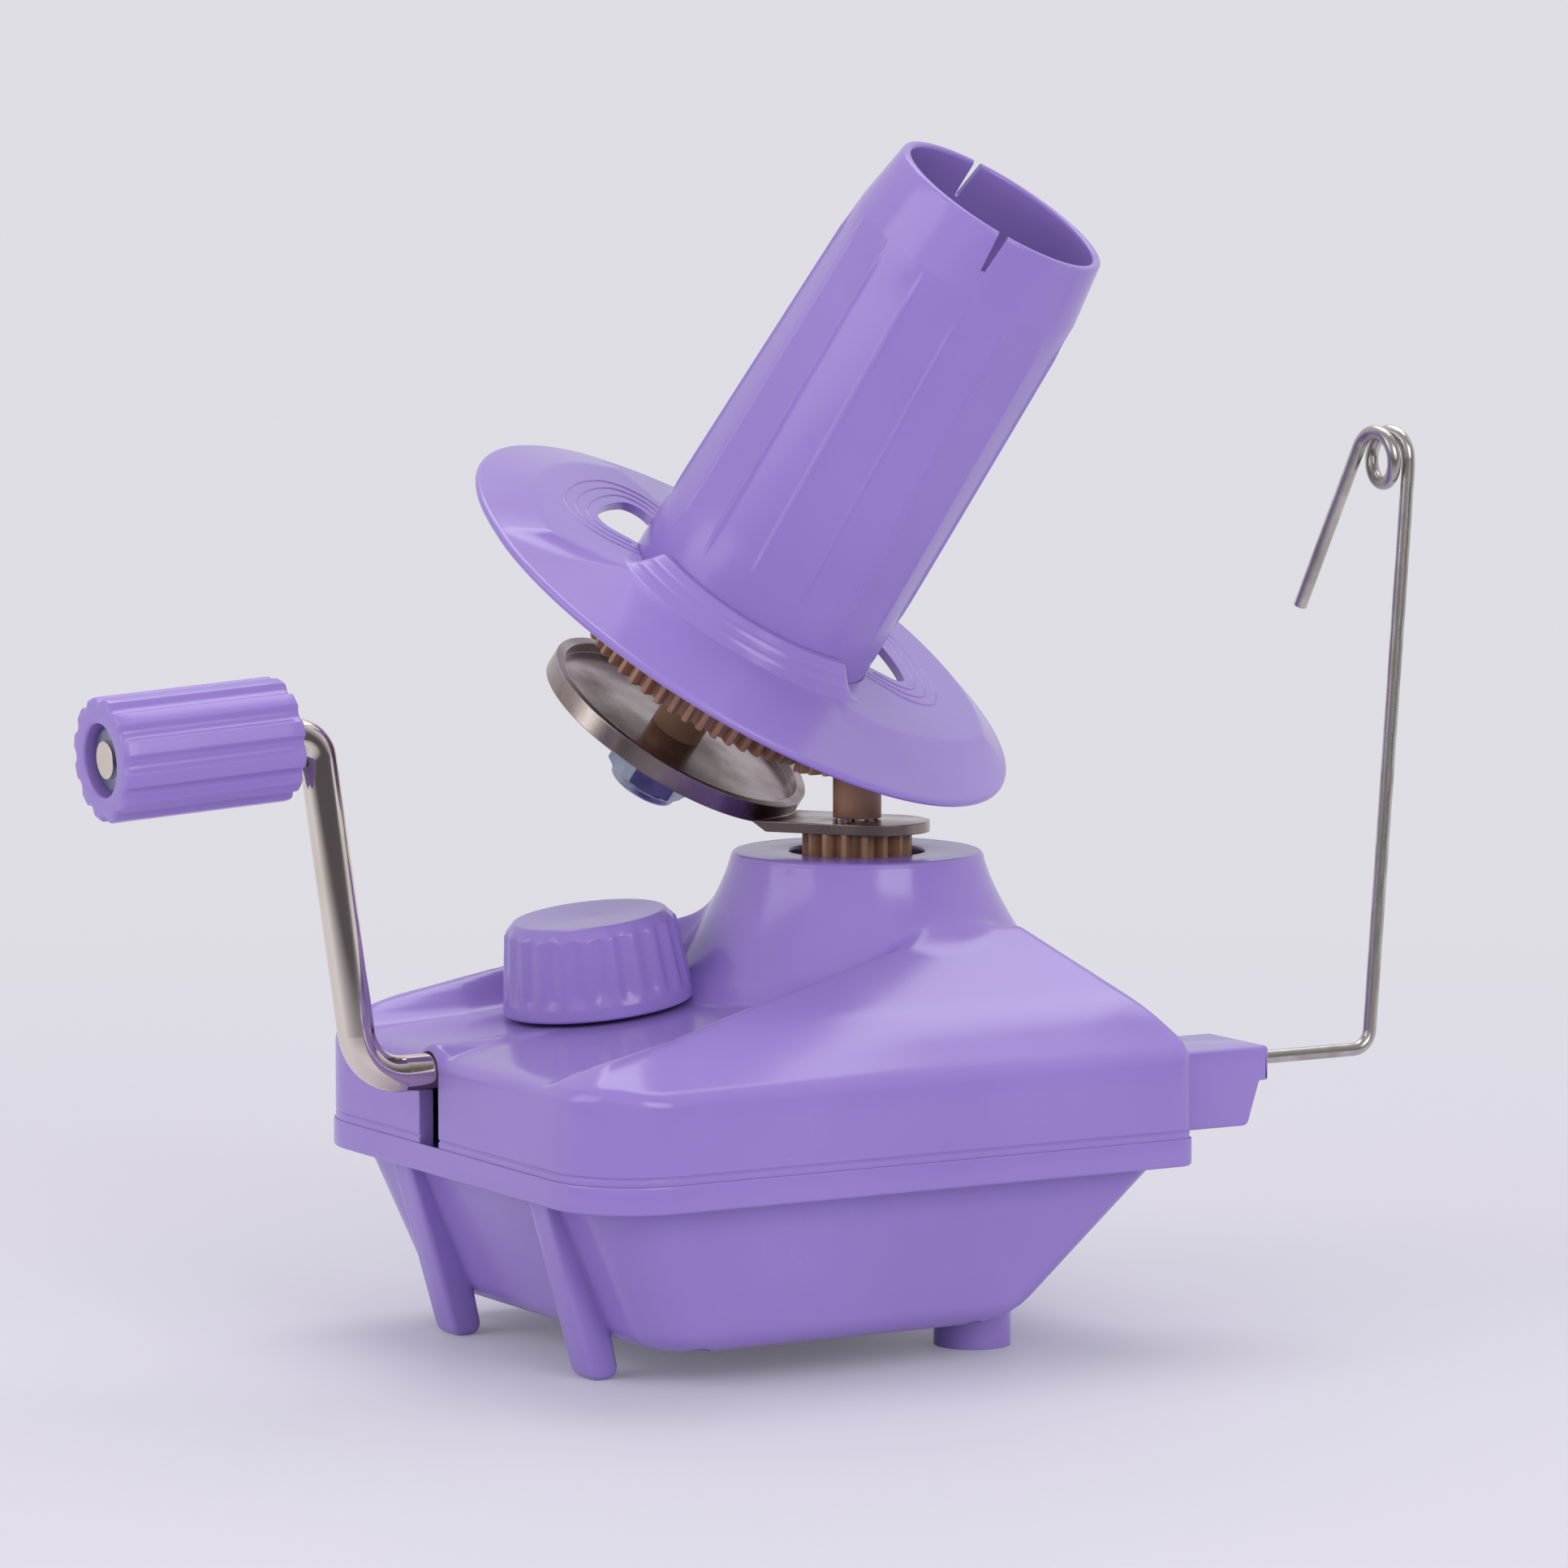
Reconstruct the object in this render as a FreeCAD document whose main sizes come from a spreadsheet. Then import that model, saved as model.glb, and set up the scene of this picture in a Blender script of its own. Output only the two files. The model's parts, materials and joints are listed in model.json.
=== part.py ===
import FreeCAD, Part
import Sketcher
import math
import os
import re

# Yarn ball winder. The origin is on the spindle axis, at the height of the table top.
# +X points to the yarn guide, -X to the crank, -Y to the near side and +Z up.

doc = FreeCAD.newDocument("yarn_ball_winder")
sheet = doc.addObject("Spreadsheet::Sheet", "Dimensions")

# Driving dimensions in millimetres and degrees.
# The near and far sides differ because the spindle sits off the middle of the housing.
driving = {
    "body_rear": 82.85,
    "body_front": 32.0,
    "body_near": 57.5,
    "body_far": 45.0,
    "rear_round": 14.5,
    "front_round": 3.5,
    "shell_wall": 2.0,
    "rim_bottom": 30.9,
    "rim_top": 34.5,
    "rim_proud": 0.6,
    "eave_height": 50.0,
    "roof_height": 64.0,
    "roof_near_run": 24.7,
    "roof_far_run": 22.0,
    "roof_rear_run": 23.0,
    "roof_front_run": 12.4,
    "roof_round": 3.0,
    "neck_foot_radius": 29.3,
    "neck_foot_height": 62.0,
    "neck_waist_radius": 24.6,
    "neck_waist_height": 70.0,
    "boss_radius": 21.5,
    "boss_top": 80.2,
    "boss_plate": 2.4,
    "boss_hole_radius": 11.6,
    "recess_height": 50.6,
    "recess_slope": 7.0,
    "recess_rear_margin": 7.4,
    "recess_front": 18.0,
    "recess_near_margin": 25.0,
    "recess_far_margin": 26.0,
    "hump_radius": 6.0,
    "hump_length": 18.0,
    "tub_inset": 5.5,
    "tub_front_inset": 3.0,
    "tub_floor": 5.7,
    "tub_side_draft": 2.0,
    "tub_rear_run": 11.0,
    "tub_front_run": 28.2,
    "tub_round": 9.0,
    "tub_edge_round": 4.0,
    "leg_spread": 47.6,
    "leg_width": 7.0,
    "leg_top_rear": 79.8,
    "leg_bottom_rear": 72.3,
    "leg_bottom_front": 63.4,
    "leg_top_front": 71.0,
    "leg_bevel": 1.5,
    "foot_radius": 6.5,
    "foot_spread": 57.2,
    "foot_forward": 1.75,
    "foot_peg_radius": 2.2,
    "foot_peg_rise": 3.2,
    "screw_front": 6.0,
    "screw_rear": 58.0,
    "screw_spread": 80.5,
    "screw_radius": 1.45,
    "screw_head_radius": 2.9,
    "screw_head_height": 2.0,
    "screw_seat": 27.0,
    "screw_tip": 43.0,
    "screw_column_radius": 5.0,
    "cover_column_radius": 4.0,
    "screw_gap": 0.1,
    "screw_well_gap": 0.4,
    "rod_height": 48.0,
    "rod_radius": 3.1,
    "rod_inner_end": 9.6,
    "rod_slot_gap": 0.3,
    "rod_bend_out": 95.2,
    "rod_bend_round": 8.5,
    "arm_top_out": 103.6,
    "arm_top_height": 105.3,
    "arm_top_round": 4.4,
    "grip_droop": 3.5,
    "grip_start": 5.0,
    "grip_length": 32.5,
    "grip_radius": 10.3,
    "grip_bore_gap": 0.08,
    "grip_well_radius": 6.0,
    "grip_well_depth": 3.0,
    "grip_flutes": 12,
    "grip_flute_radius": 1.7,
    "grip_flute_depth": 0.8,
    "grip_washer_radius": 6.0,
    "grip_washer_height": 1.0,
    "grip_retainer_radius": 5.0,
    "rod_end_proud": 0.8,
    "bush_wall": 1.0,
    "bush_length": 6.0,
    "bush_rear": 70.0,
    "bush_front": 30.0,
    "saddle_width": 16.0,
    "saddle_length": 3.0,
    "collar_radius": 6.0,
    "collar_length": 4.0,
    "running_fit": 0.05,
    "thrust_gap": 0.35,
    "post_radius": 3.0,
    "post_bottom": 14.0,
    "pillar_radius": 5.8,
    "pillar_top": 60.0,
    "post_hole_depth": 12.0,
    "post_screw_reach": 11.0,
    "post_head_radius": 3.7,
    "base_screw_seat": 9.7,
    "washer_height": 1.0,
    "pinion_teeth": 16,
    "pinion_module": 1.05,
    "pinion_bottom": 66.5,
    "pinion_top": 83.7,
    "pinion_collar_radius": 6.2,
    "crown_ratio": 3,
    "crown_face": 4.0,
    "crown_back": 3.0,
    "crown_hub_radius": 7.0,
    "crown_pin_radius": 1.0,
    "crown_pin_place": 20.0,
    "tooth_head": 0.98,
    "tooth_foot": 1.24,
    "tooth_tip_share": 0.125,
    "tooth_pitch_share": 0.205,
    "tooth_root_share": 0.265,
    "crown_tooth_head": 0.84,
    "crown_tooth_tip": 0.26,
    "crown_tooth_root": 0.82,
    "crown_root_gap": 0.1,
    "apex_height": 150.6,
    "lean_angle": 33.5,
    "lean_turn": -53.5,
    "ring_teeth": 50,
    "post_pinion_teeth": 22,
    "ring_top": -46.3,
    "ring_bottom": -51.5,
    "ring_drum_radius": 20.5,
    "ring_bore_radius": 17.6,
    "ring_hub_radius": 6.0,
    "ring_hub_bottom": -56.8,
    "post_pinion_bottom": 93.8,
    "post_pinion_top": 98.3,
    "neck_collar_radius": 4.15,
    "plate_thickness": 1.8,
    "dish_radius": 24.8,
    "dish_bottom": -63.0,
    "dish_thickness": 1.6,
    "dish_rim_top": -59.5,
    "dish_rim_wall": 1.7,
    "tab_width": 18.4,
    "tab_reach": 12.7,
    "tab_root": 18.0,
    "rivet_spread": 12.0,
    "rivet_radius": 0.8,
    "rivet_head_radius": 1.4,
    "rivet_head_height": 0.8,
    "rivet_depth": 6.0,
    "axle_radius": 2.5,
    "axle_head_radius": 4.6,
    "axle_head_height": 3.4,
    "axle_washer_radius": 6.0,
    "spacer_radius": 4.6,
    "nut_across": 14.8,
    "nut_height": 6.0,
    "nut_dome_radius": 5.7,
    "nut_dome_height": 6.6,
    "nut_bevel": 1.2,
    "axle_end": 3.0,
    "cone_rim_radius": 19.3,
    "cone_rim_top": 47.9,
    "cone_band_radius": 21.0,
    "cone_band_height": 36.5,
    "cone_base_radius": 22.5,
    "cone_base_height": -31.0,
    "cone_wall": 1.5,
    "cone_slot_width": 1.6,
    "cone_slot_depth": 6.0,
    "cone_slot_turn": -61.0,
    "flange_top": -35.2,
    "flange_thickness": 2.0,
    "flange_flat_radius": 43.0,
    "flange_radius": 52.6,
    "flange_drop": 3.6,
    "flange_collar_radius": 24.0,
    "flange_collar_top": -31.5,
    "window_inner_radius": 25.0,
    "window_outer_radius": 30.0,
    "window_turn": 33.0,
    "window_span": 42.0,
    "gear_screw_circle": 13.0,
    "gear_screw_radius": 1.25,
    "gear_screw_head_radius": 2.4,
    "gear_screw_length": 8.0,
    "gear_boss_radius": 3.2,
    "gear_boss_roof": 1.0,
    "knob_back": 46.1,
    "knob_far": 8.0,
    "knob_gap": 0.8,
    "knob_height": 15.5,
    "knob_base_radius": 16.3,
    "knob_top_radius": 14.6,
    "knob_edge": 2.0,
    "knob_wall": 2.4,
    "knob_roof": 2.9,
    "knob_flutes": 26,
    "knob_flute_radius": 1.5,
    "knob_flute_depth": 0.45,
    "knob_band": 2.2,
    "knob_hub_radius": 7.6,
    "insert_radius": 4.5,
    "insert_bore_radius": 2.5,
    "insert_rise": 11.0,
    "insert_drop": 4.6,
    "retainer_radius": 7.0,
    "retainer_height": 1.0,
    "clamp_way_radius": 5.2,
    "guide_near": 45.0,
    "guide_height": 46.1,
    "guide_block_near": 52.0,
    "guide_block_far": 34.0,
    "guide_block_front": 50.0,
    "guide_block_top": 49.2,
    "guide_block_bottom": 35.8,
    "guide_block_heel": 45.9,
    "guide_block_shin": 48.3,
    "guide_block_step": 43.3,
    "wire_radius": 1.15,
    "wire_reach": 75.2,
    "wire_inner_end": 26.0,
    "wire_corner_round": 3.4,
    "wire_lean": 4.2,
    "eye_height": 147.0,
    "eye_radius": 4.4,
    "eye_pitch": 3.1,
    "tail_angle": 24.0,
    "tail_length": 31.0,
    "guide_ring_radius": 3.2,
    "guide_ring_height": 1.2,
}

for row, (name, number) in enumerate(driving.items(), start=1):
    sheet.set(f"A{row}", name)
    sheet.set(f"B{row}", str(number))
    sheet.setAlias(f"B{row}", name)
doc.recompute()


def bound(text):
    """A size expression with each name of the sheet spelled out in full."""
    return re.sub(r"[a-z]+(?:_[a-z]+)+", lambda found: "Dimensions." + found.group(), text)


def size(text):
    """The value of a size expression, in millimetres or degrees."""
    return float(sheet.evalExpression(bound(text)))


def vector(x, y, z):
    return FreeCAD.Vector(x, y, z)


def place(x="0", y="0", z="0", turn=None, tilt=None):
    """The text of a placement: a shift, then a turn about Z and a tilt about Y."""
    spin = bound(turn) if turn else "0"
    lean = bound(tilt) if tilt else "0"
    shift = f"create(<<vector>>; {bound(x)}; {bound(y)}; {bound(z)})"
    about_z = f"create(<<rotation>>; create(<<vector>>; 0; 0; 1); {spin})"
    about_y = f"create(<<rotation>>; create(<<vector>>; 0; 1; 0); {lean})"
    return f"create(<<placement>>; {shift}; {about_z} * {about_y})"


# Frames that pieces share: the crank rod lies along X, and the cone leans over the spindle.
# In the rod's frame z is the X position, and in the cone's frame z runs up the cone from
# the point where its axis crosses the spindle's.
rod_frame = place(z="rod_height", tilt="90")
cone_frame = place(z="apex_height", turn="lean_turn", tilt="lean_angle")
grip_frame = place(
    x="-(arm_top_out + grip_start * cos(grip_droop))",
    z="arm_top_height - grip_start * sin(grip_droop)",
    tilt="-(90 + grip_droop)",
)
knob_floor = "recess_height + (body_rear - knob_back) * tan(recess_slope)"
knob_frame = place(
    x="-knob_back",
    y="knob_far",
    z=knob_floor + " + knob_gap",
    tilt="-recess_slope",
)


# How far a tool that cuts runs past the faces it cuts.
beyond = 1.0


def origin_plane(body, role):
    """One of a body's own origin planes."""
    return [plane for plane in body.Origin.OriginFeatures if plane.Role == role][0]


def turned(label, outline, frame=None):
    """A turned piece: an outline of radius and height, revolved about its own Z."""
    body = doc.addObject("PartDesign::Body", label)
    body.Label = label
    sketch = body.newObject("Sketcher::SketchObject", label + "_outline")
    sketch.AttachmentSupport = [(origin_plane(body, "XZ_Plane"), "")]
    sketch.MapMode = "FlatFace"
    points = [vector(size(radius), size(height), 0) for radius, height in outline]
    count = len(points)
    for index in range(count):
        side = Part.LineSegment(points[index], points[(index + 1) % count])
        sketch.addGeometry(side, False)
    for index in range(count):
        sketch.addConstraint(Sketcher.Constraint("Coincident", index, 2, (index + 1) % count, 1))
    for index, (radius, height) in enumerate(outline):
        across = Sketcher.Constraint("DistanceX", -1, 1, index, 1, points[index].x)
        sketch.setExpression(f"Constraints[{sketch.addConstraint(across)}]", bound(radius))
        along = Sketcher.Constraint("DistanceY", -1, 1, index, 1, points[index].y)
        sketch.setExpression(f"Constraints[{sketch.addConstraint(along)}]", bound(height))
    turning = body.newObject("PartDesign::Revolution", label + "_turned")
    turning.Profile = sketch
    turning.ReferenceAxis = (sketch, ["V_Axis"])
    turning.Angle = 360
    if frame:
        body.setExpression("Placement", frame)
    return body


def drum(name, radius, low, high, frame=None, x="0", y="0"):
    """A round bar along Z between two heights, offset within its frame."""
    bar = doc.addObject("Part::Cylinder", name)
    bar.setExpression("Radius", bound(radius))
    bar.setExpression("Height", bound(f"({high}) - ({low})"))
    spot = place(x=x, y=y, z=low)
    bar.setExpression("Placement", f"{frame} * {spot}" if frame else spot)
    return bar


def joined(label, pieces):
    """One solid moulded or forged from several touching forms."""
    whole = doc.addObject("Part::MultiFuse", label)
    whole.Shapes = pieces
    whole.Refine = False
    return whole


def cut(label, base, tools, frame=None):
    """A piece with material taken away by one or more tools."""
    tool = joined(label + "_tools", tools) if len(tools) > 1 else tools[0]
    left = doc.addObject("Part::Cut", label)
    left.Base = base
    left.Tool = tool
    if frame:
        left.setExpression("Placement", frame)
    return left


def group(label, pieces):
    """Like pieces that share one node as separate solids."""
    together = doc.addObject("Part::Compound", label)
    together.Links = pieces
    return together


def shaped(label, shape, frame=None):
    """A piece whose form comes from lofts, sweeps or gear outlines."""
    piece = doc.addObject("Part::Feature", label)
    piece.Shape = shape
    if frame:
        piece.setExpression("Placement", frame)
    return piece


def polygon(points):
    """A closed wire through points."""
    return Part.makePolygon(points + points[:1])


def prism(points, direction):
    """A flat outline pushed along a direction."""
    return Part.Face(polygon(points)).extrude(direction)


def bar(radius, start, end):
    """A round bar between two points."""
    along = end - start
    return Part.makeCylinder(radius, along.Length, start, along)


def block(x_low, x_high, y_low, y_high, z_low, z_high):
    """A square block between two corners."""
    corner = vector(x_low, y_low, z_low)
    return Part.makeBox(x_high - x_low, y_high - y_low, z_high - z_low, corner)


# Housing: plan outlines, shared by the cover and the tub.

def plan(height, rear, front, near, far, rear_round, front_round):
    """The housing's plan at one height: a rectangle with two sizes of rounded corner."""
    corners = [
        (-rear + rear_round, -near + rear_round, rear_round, 180),
        (front - front_round, -near + front_round, front_round, 270),
        (front - front_round, far - front_round, front_round, 0),
        (-rear + rear_round, far - rear_round, rear_round, 90),
    ]
    arcs = []
    for x, y, radius, start in corners:
        angles = [math.radians(start + step) for step in (0, 45, 90)]
        spots = [vector(x + radius * math.cos(a), y + radius * math.sin(a), height) for a in angles]
        arcs.append(spots)
    edges = []
    for index, spots in enumerate(arcs):
        edges.append(Part.Arc(*spots).toShape())
        edges.append(Part.LineSegment(spots[2], arcs[(index + 1) % len(arcs)][0]).toShape())
    return Part.Wire(edges)


def body_plan(height, inset):
    """The cover's wall in plan, drawn in by an inset."""
    return plan(
        height,
        size("body_rear") - inset,
        size("body_front") - inset,
        size("body_near") - inset,
        size("body_far") - inset,
        size("rear_round") - inset,
        max(size("front_round") - inset, size("front_round") / 4),
    )


def roof_plan(height):
    """The top of the hip roof in plan."""
    return plan(
        height,
        size("body_rear - roof_rear_run"),
        size("body_front - roof_front_run"),
        size("body_near - roof_near_run"),
        size("body_far - roof_far_run"),
        size("roof_round"),
        size("roof_round"),
    )


def recess_floor(x):
    """Height of the sloping recess floor, which rises towards the spindle."""
    return size("recess_height") + (x + size("body_rear")) * math.tan(math.radians(size("recess_slope")))


def recess_form(grow):
    """The recess behind the neck, between the two ridges, as a tool that cuts it."""
    rear = -size("body_rear") - size("shell_wall")
    near_rear = -size("body_near - recess_rear_margin") - grow
    near_front = -size("body_near - recess_near_margin") - grow
    far_rear = size("body_far - recess_rear_margin") + grow
    far_front = size("body_far - recess_far_margin") + grow
    front = -size("recess_front") + grow
    corners = [(rear, near_rear), (front, near_front), (front, far_front), (rear, far_rear)]
    floor = [vector(x, y, recess_floor(x) - grow) for x, y in corners]
    open_top = [vector(x, y, size("boss_top")) for x, y in corners]
    return Part.makeLoft([polygon(floor), polygon(open_top)], True, True)


def neck_form(shrink):
    """The flared neck that carries the boss."""
    foot = vector(size("neck_foot_radius") - shrink, 0, size("neck_foot_height"))
    waist = vector(size("neck_waist_radius") - shrink, 0, size("neck_waist_height"))
    top = vector(size("boss_radius") - shrink, 0, size("boss_top"))
    low = size("eave_height")
    edges = [
        Part.LineSegment(vector(0, 0, low), vector(foot.x, 0, low)).toShape(),
        Part.LineSegment(vector(foot.x, 0, low), foot).toShape(),
        Part.Arc(foot, waist, top).toShape(),
        Part.LineSegment(top, vector(0, 0, top.z)).toShape(),
        Part.LineSegment(vector(0, 0, top.z), vector(0, 0, low)).toShape(),
    ]
    return Part.Face(Part.Wire(edges)).revolve(vector(0, 0, 0), vector(0, 0, 1), 360)


def cover_form(shrink):
    """The cover as a filled form. Drawn in by the wall, it is the cover's hollow."""
    low = size("rim_top") - shrink
    eave = size("eave_height") - shrink / 4
    ridge = size("roof_height") - shrink * 1.2
    sections = [body_plan(low, shrink), body_plan(eave, shrink), roof_plan(ridge)]
    form = Part.makeLoft(sections, True, True).cut(recess_form(shrink))
    return form.fuse(neck_form(shrink))


def rod_hump():
    """The half round hump over the crank rod at the rear edge."""
    start = vector(-size("body_rear"), 0, size("rod_height"))
    end = start + vector(size("hump_length"), 0, 0)
    round_bar = bar(size("hump_radius"), start, end)
    nose = Part.makeCone(size("hump_radius"), 0, size("hump_radius"), end, vector(1, 0, 0))
    return round_bar.fuse(nose)


def guide_block():
    """The block at the near front corner that the yarn guide turns in."""
    front = size("guide_block_front")
    low = size("guide_block_bottom")
    top = size("guide_block_top")
    step = size("guide_block_step")
    root = size("body_front - shell_wall")
    side = [
        (root, low),
        (size("guide_block_heel"), low),
        (size("guide_block_shin"), step),
        (front, step),
        (front, top),
        (root, top),
    ]
    outline = [vector(x, -size("guide_block_near"), z) for x, z in side]
    return prism(outline, vector(0, size("guide_block_near - guide_block_far"), 0))


screw_spots = [
    (-size(x), size("(body_far - body_near) / 2") + side * size("screw_spread / 2"))
    for x in ("screw_front", "screw_rear")
    for side in (-1, 1)
]


def rod_way():
    """The way for the crank rod and its bushes, through the ribs and saddles."""
    height = size("rod_height")
    start = vector(size("shell_wall - body_rear"), 0, height)
    return bar(size("rod_radius + bush_wall"), start, vector(-size("rod_inner_end"), 0, height))


def clamp_way():
    """The way for the clamp's screw, along the knob's tilted axis, through cover and tub."""
    tilt = math.radians(size("recess_slope"))
    along = vector(-math.sin(tilt), 0, math.cos(tilt))
    spot = vector(-size("knob_back"), size("knob_far"), size(knob_floor))
    bottom = spot - along * size("roof_height")
    return bar(size("clamp_way_radius"), bottom, spot + along * size("shell_wall"))


def upper_cover():
    """Moulded cover: wall, hip roof, recess, neck, ribs over the bushes and screw columns."""
    outside = cover_form(0).fuse(rod_hump())
    hollow = cover_form(size("shell_wall"))
    reach = size("neck_foot_radius")
    lid = block(-reach, reach, -reach, reach, size("boss_top - boss_plate"), size("boss_top"))
    shell = outside.cut(hollow.cut(lid))
    half_width = size("saddle_width") / 2
    additions = [guide_block()]
    half = size("saddle_length") / 2
    low = size("rod_height")
    high = size("roof_height")
    for spot in (size("bush_rear"), size("bush_front")):
        rib = block(-spot - half, -spot + half, -half_width, half_width, low, high)
        additions.append(rib.common(outside))
    for x, y in screw_spots:
        foot = vector(x, y, size("rim_top"))
        column = bar(size("cover_column_radius"), foot, vector(x, y, high))
        additions.append(column.common(outside))
    shell = shell.multiFuse(additions)
    rear = -size("body_rear")
    slot_half = size("rod_radius + rod_slot_gap")
    wall_out = vector(rear - beyond, 0, size("rod_height"))
    wall_in = vector(rear + size("shell_wall") + beyond, 0, size("rod_height"))
    wire_line = [
        vector(size("wire_inner_end") - beyond, -size("guide_near"), size("guide_height")),
        vector(size("guide_block_front") + beyond, -size("guide_near"), size("guide_height")),
    ]
    boss_low = vector(0, 0, size("eave_height"))
    removals = [
        bar(size("boss_hole_radius"), boss_low, vector(0, 0, size("boss_top") + beyond)),
        rod_way(),
        bar(slot_half, wall_out, wall_in),
        block(wall_out.x, wall_in.x, -slot_half, slot_half, size("rim_top") - beyond, size("rod_height")),
        clamp_way(),
        bar(size("wire_radius + running_fit"), *wire_line),
    ]
    for x, y in screw_spots:
        foot = vector(x, y, size("rim_top") - beyond)
        removals.append(bar(size("screw_radius"), foot, vector(x, y, size("screw_tip"))))
    return shell.cut(removals)


def tub_plan(height, drop, shrink):
    """The tub in plan: drop runs from 0 at the rim to 1 at the floor."""
    return plan(
        height,
        size("body_rear - tub_inset") - drop * size("tub_rear_run") - shrink,
        size("body_front - tub_front_inset") - drop * size("tub_front_run") - shrink,
        size("body_near - tub_inset") - drop * size("tub_side_draft") - shrink,
        size("body_far - tub_inset") - drop * size("tub_side_draft") - shrink,
        size("tub_round"),
        size("tub_round") / 2,
    )


def tub_form(shrink):
    """The tub as a filled form with its rounded lower edge."""
    edge = size("tub_edge_round")
    diagonal = math.sqrt(0.5)
    top = size("rim_bottom")
    floor = size("tub_floor") + shrink
    lift = edge * (1 - diagonal)
    bend = (top - floor - edge) / (top - floor)
    sections = [
        tub_plan(top, 0, shrink),
        tub_plan(floor + edge, bend, shrink),
        tub_plan(floor + lift, bend + (1 - bend) * diagonal, shrink + lift),
        tub_plan(floor, 1, shrink + edge),
    ]
    return Part.makeLoft(sections, True, True)


def rear_leg(y):
    """One moulded rear leg, leaning in under the tub."""
    bevel = size("leg_bevel")
    side = [
        (-size("leg_top_rear"), size("rim_bottom")),
        (-size("leg_bottom_rear"), bevel),
        (-size("leg_bottom_rear") + bevel, 0),
        (-size("leg_bottom_front") - bevel, 0),
        (-size("leg_bottom_front"), bevel),
        (-size("leg_top_front"), size("rim_bottom")),
    ]
    half = size("leg_width") / 2
    return prism([vector(x, y - half, z) for x, z in side], vector(0, 2 * half, 0))


middle = size("(body_far - body_near) / 2")
foot_spots = [(size("foot_forward"), middle + side * size("foot_spread / 2")) for side in (-1, 1)]


def lower_tub():
    """Moulded tub: rim, legs, post pillar, bush saddles and screw columns."""
    rim_low = body_plan(size("rim_bottom"), -size("rim_proud"))
    rim_high = body_plan(size("rim_top"), -size("rim_proud"))
    rim = Part.makeLoft([rim_low, rim_high], True, True)
    mouth_low = tub_plan(size("rim_bottom"), 0, size("shell_wall"))
    mouth_high = tub_plan(size("rim_top") + beyond, 0, size("shell_wall"))
    mouth = Part.makeLoft([mouth_low, mouth_high], True, True)
    floor = size("tub_floor")
    wall = size("shell_wall")
    legs = [rear_leg(middle + side * size("leg_spread / 2")) for side in (-1, 1)]
    outside = tub_form(0).fuse(rim)
    shell = outside.multiFuse(legs).cut(tub_form(wall).fuse(mouth))
    root = floor + wall / 2
    high = size("rod_height")
    additions = [bar(size("pillar_radius"), vector(0, 0, root), vector(0, 0, size("pillar_top")))]
    half_width = size("saddle_width") / 2
    half = size("saddle_length") / 2
    for spot in (size("bush_rear"), size("bush_front")):
        saddle = block(-spot - half, -spot + half, -half_width, half_width, root, high)
        lower = saddle.common(outside)
        upper = block(-spot - half, -spot + half, -half_width, half_width, size("rim_top"), high)
        additions += [lower, upper]
    for x, y in screw_spots:
        column_top = vector(x, y, size("rim_top"))
        column = bar(size("screw_column_radius"), vector(x, y, root), column_top)
        additions.append(column.common(outside))
    shell = shell.multiFuse(additions)
    post_foot = vector(0, 0, size("post_bottom"))
    removals = [
        bar(size("post_radius"), post_foot, vector(0, 0, size("pillar_top") + beyond)),
        bar(size("screw_radius"), vector(0, 0, floor), vector(0, 0, size("post_bottom") + beyond)),
        bar(
            size("screw_head_radius + screw_well_gap"),
            vector(0, 0, floor - beyond),
            vector(0, 0, size("base_screw_seat")),
        ),
        rod_way(),
        clamp_way(),
    ]
    for x, y in screw_spots:
        hole_top = vector(x, y, size("rim_top") + beyond)
        removals.append(bar(size("screw_radius + screw_gap"), vector(x, y, floor), hole_top))
        well_low = vector(x, y, floor - beyond)
        well = bar(size("screw_head_radius + screw_well_gap"), well_low, vector(x, y, size("screw_seat")))
        removals.append(well)
    for x, y in foot_spots:
        peg_top = floor + size("foot_peg_rise")
        removals.append(bar(size("foot_peg_radius"), vector(x, y, 0), vector(x, y, peg_top)))
    return shell.cut(removals)


shaped("upper_cover", upper_cover())
shaped("lower_tub", lower_tub())


def front_feet():
    """Two round feet that meet the tub's underside, on pegs pressed into it."""
    feet = []
    for x, y in foot_spots:
        disc = bar(size("foot_radius"), vector(x, y, 0), vector(x, y, size("rim_bottom")))
        peg = bar(size("foot_peg_radius"), vector(x, y, 0), vector(x, y, size("tub_floor + foot_peg_rise")))
        feet.append(disc.cut(tub_form(0)).fuse(peg))
    return Part.makeCompound(feet)


shaped("front_feet", front_feet())

# Cover screws: driven up from below through the tub's columns into the cover's.
screws = []
for index, (x, y) in enumerate(screw_spots):
    low = "screw_seat - screw_head_height"
    head = drum(f"screw_head_{index}", "screw_head_radius", low, "screw_seat", x=str(x), y=str(y))
    shank = drum(f"screw_shank_{index}", "screw_radius", "screw_seat", "screw_tip", x=str(x), y=str(y))
    screws.append(joined(f"screw_{index}", [head, shank]))
group("cover_screws", screws)

# Centre post and what it carries.
turned("centre_post", [
    ("screw_radius", "post_bottom"),
    ("post_radius", "post_bottom"),
    ("post_radius", "post_pinion_top"),
    ("screw_radius", "post_pinion_top"),
    ("screw_radius", "post_pinion_top - post_hole_depth"),
    ("0", "post_pinion_top - post_hole_depth"),
    ("0", "post_bottom + post_hole_depth"),
    ("screw_radius", "post_bottom + post_hole_depth"),
])
turned("post_screw", [
    ("0", "post_pinion_top - post_screw_reach"),
    ("screw_radius", "post_pinion_top - post_screw_reach"),
    ("screw_radius", "post_pinion_top"),
    ("post_head_radius", "post_pinion_top"),
    ("post_head_radius", "post_pinion_top + screw_head_height / 2"),
    ("post_head_radius / 2", "post_pinion_top + screw_head_height"),
    ("0", "post_pinion_top + screw_head_height"),
])
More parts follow.
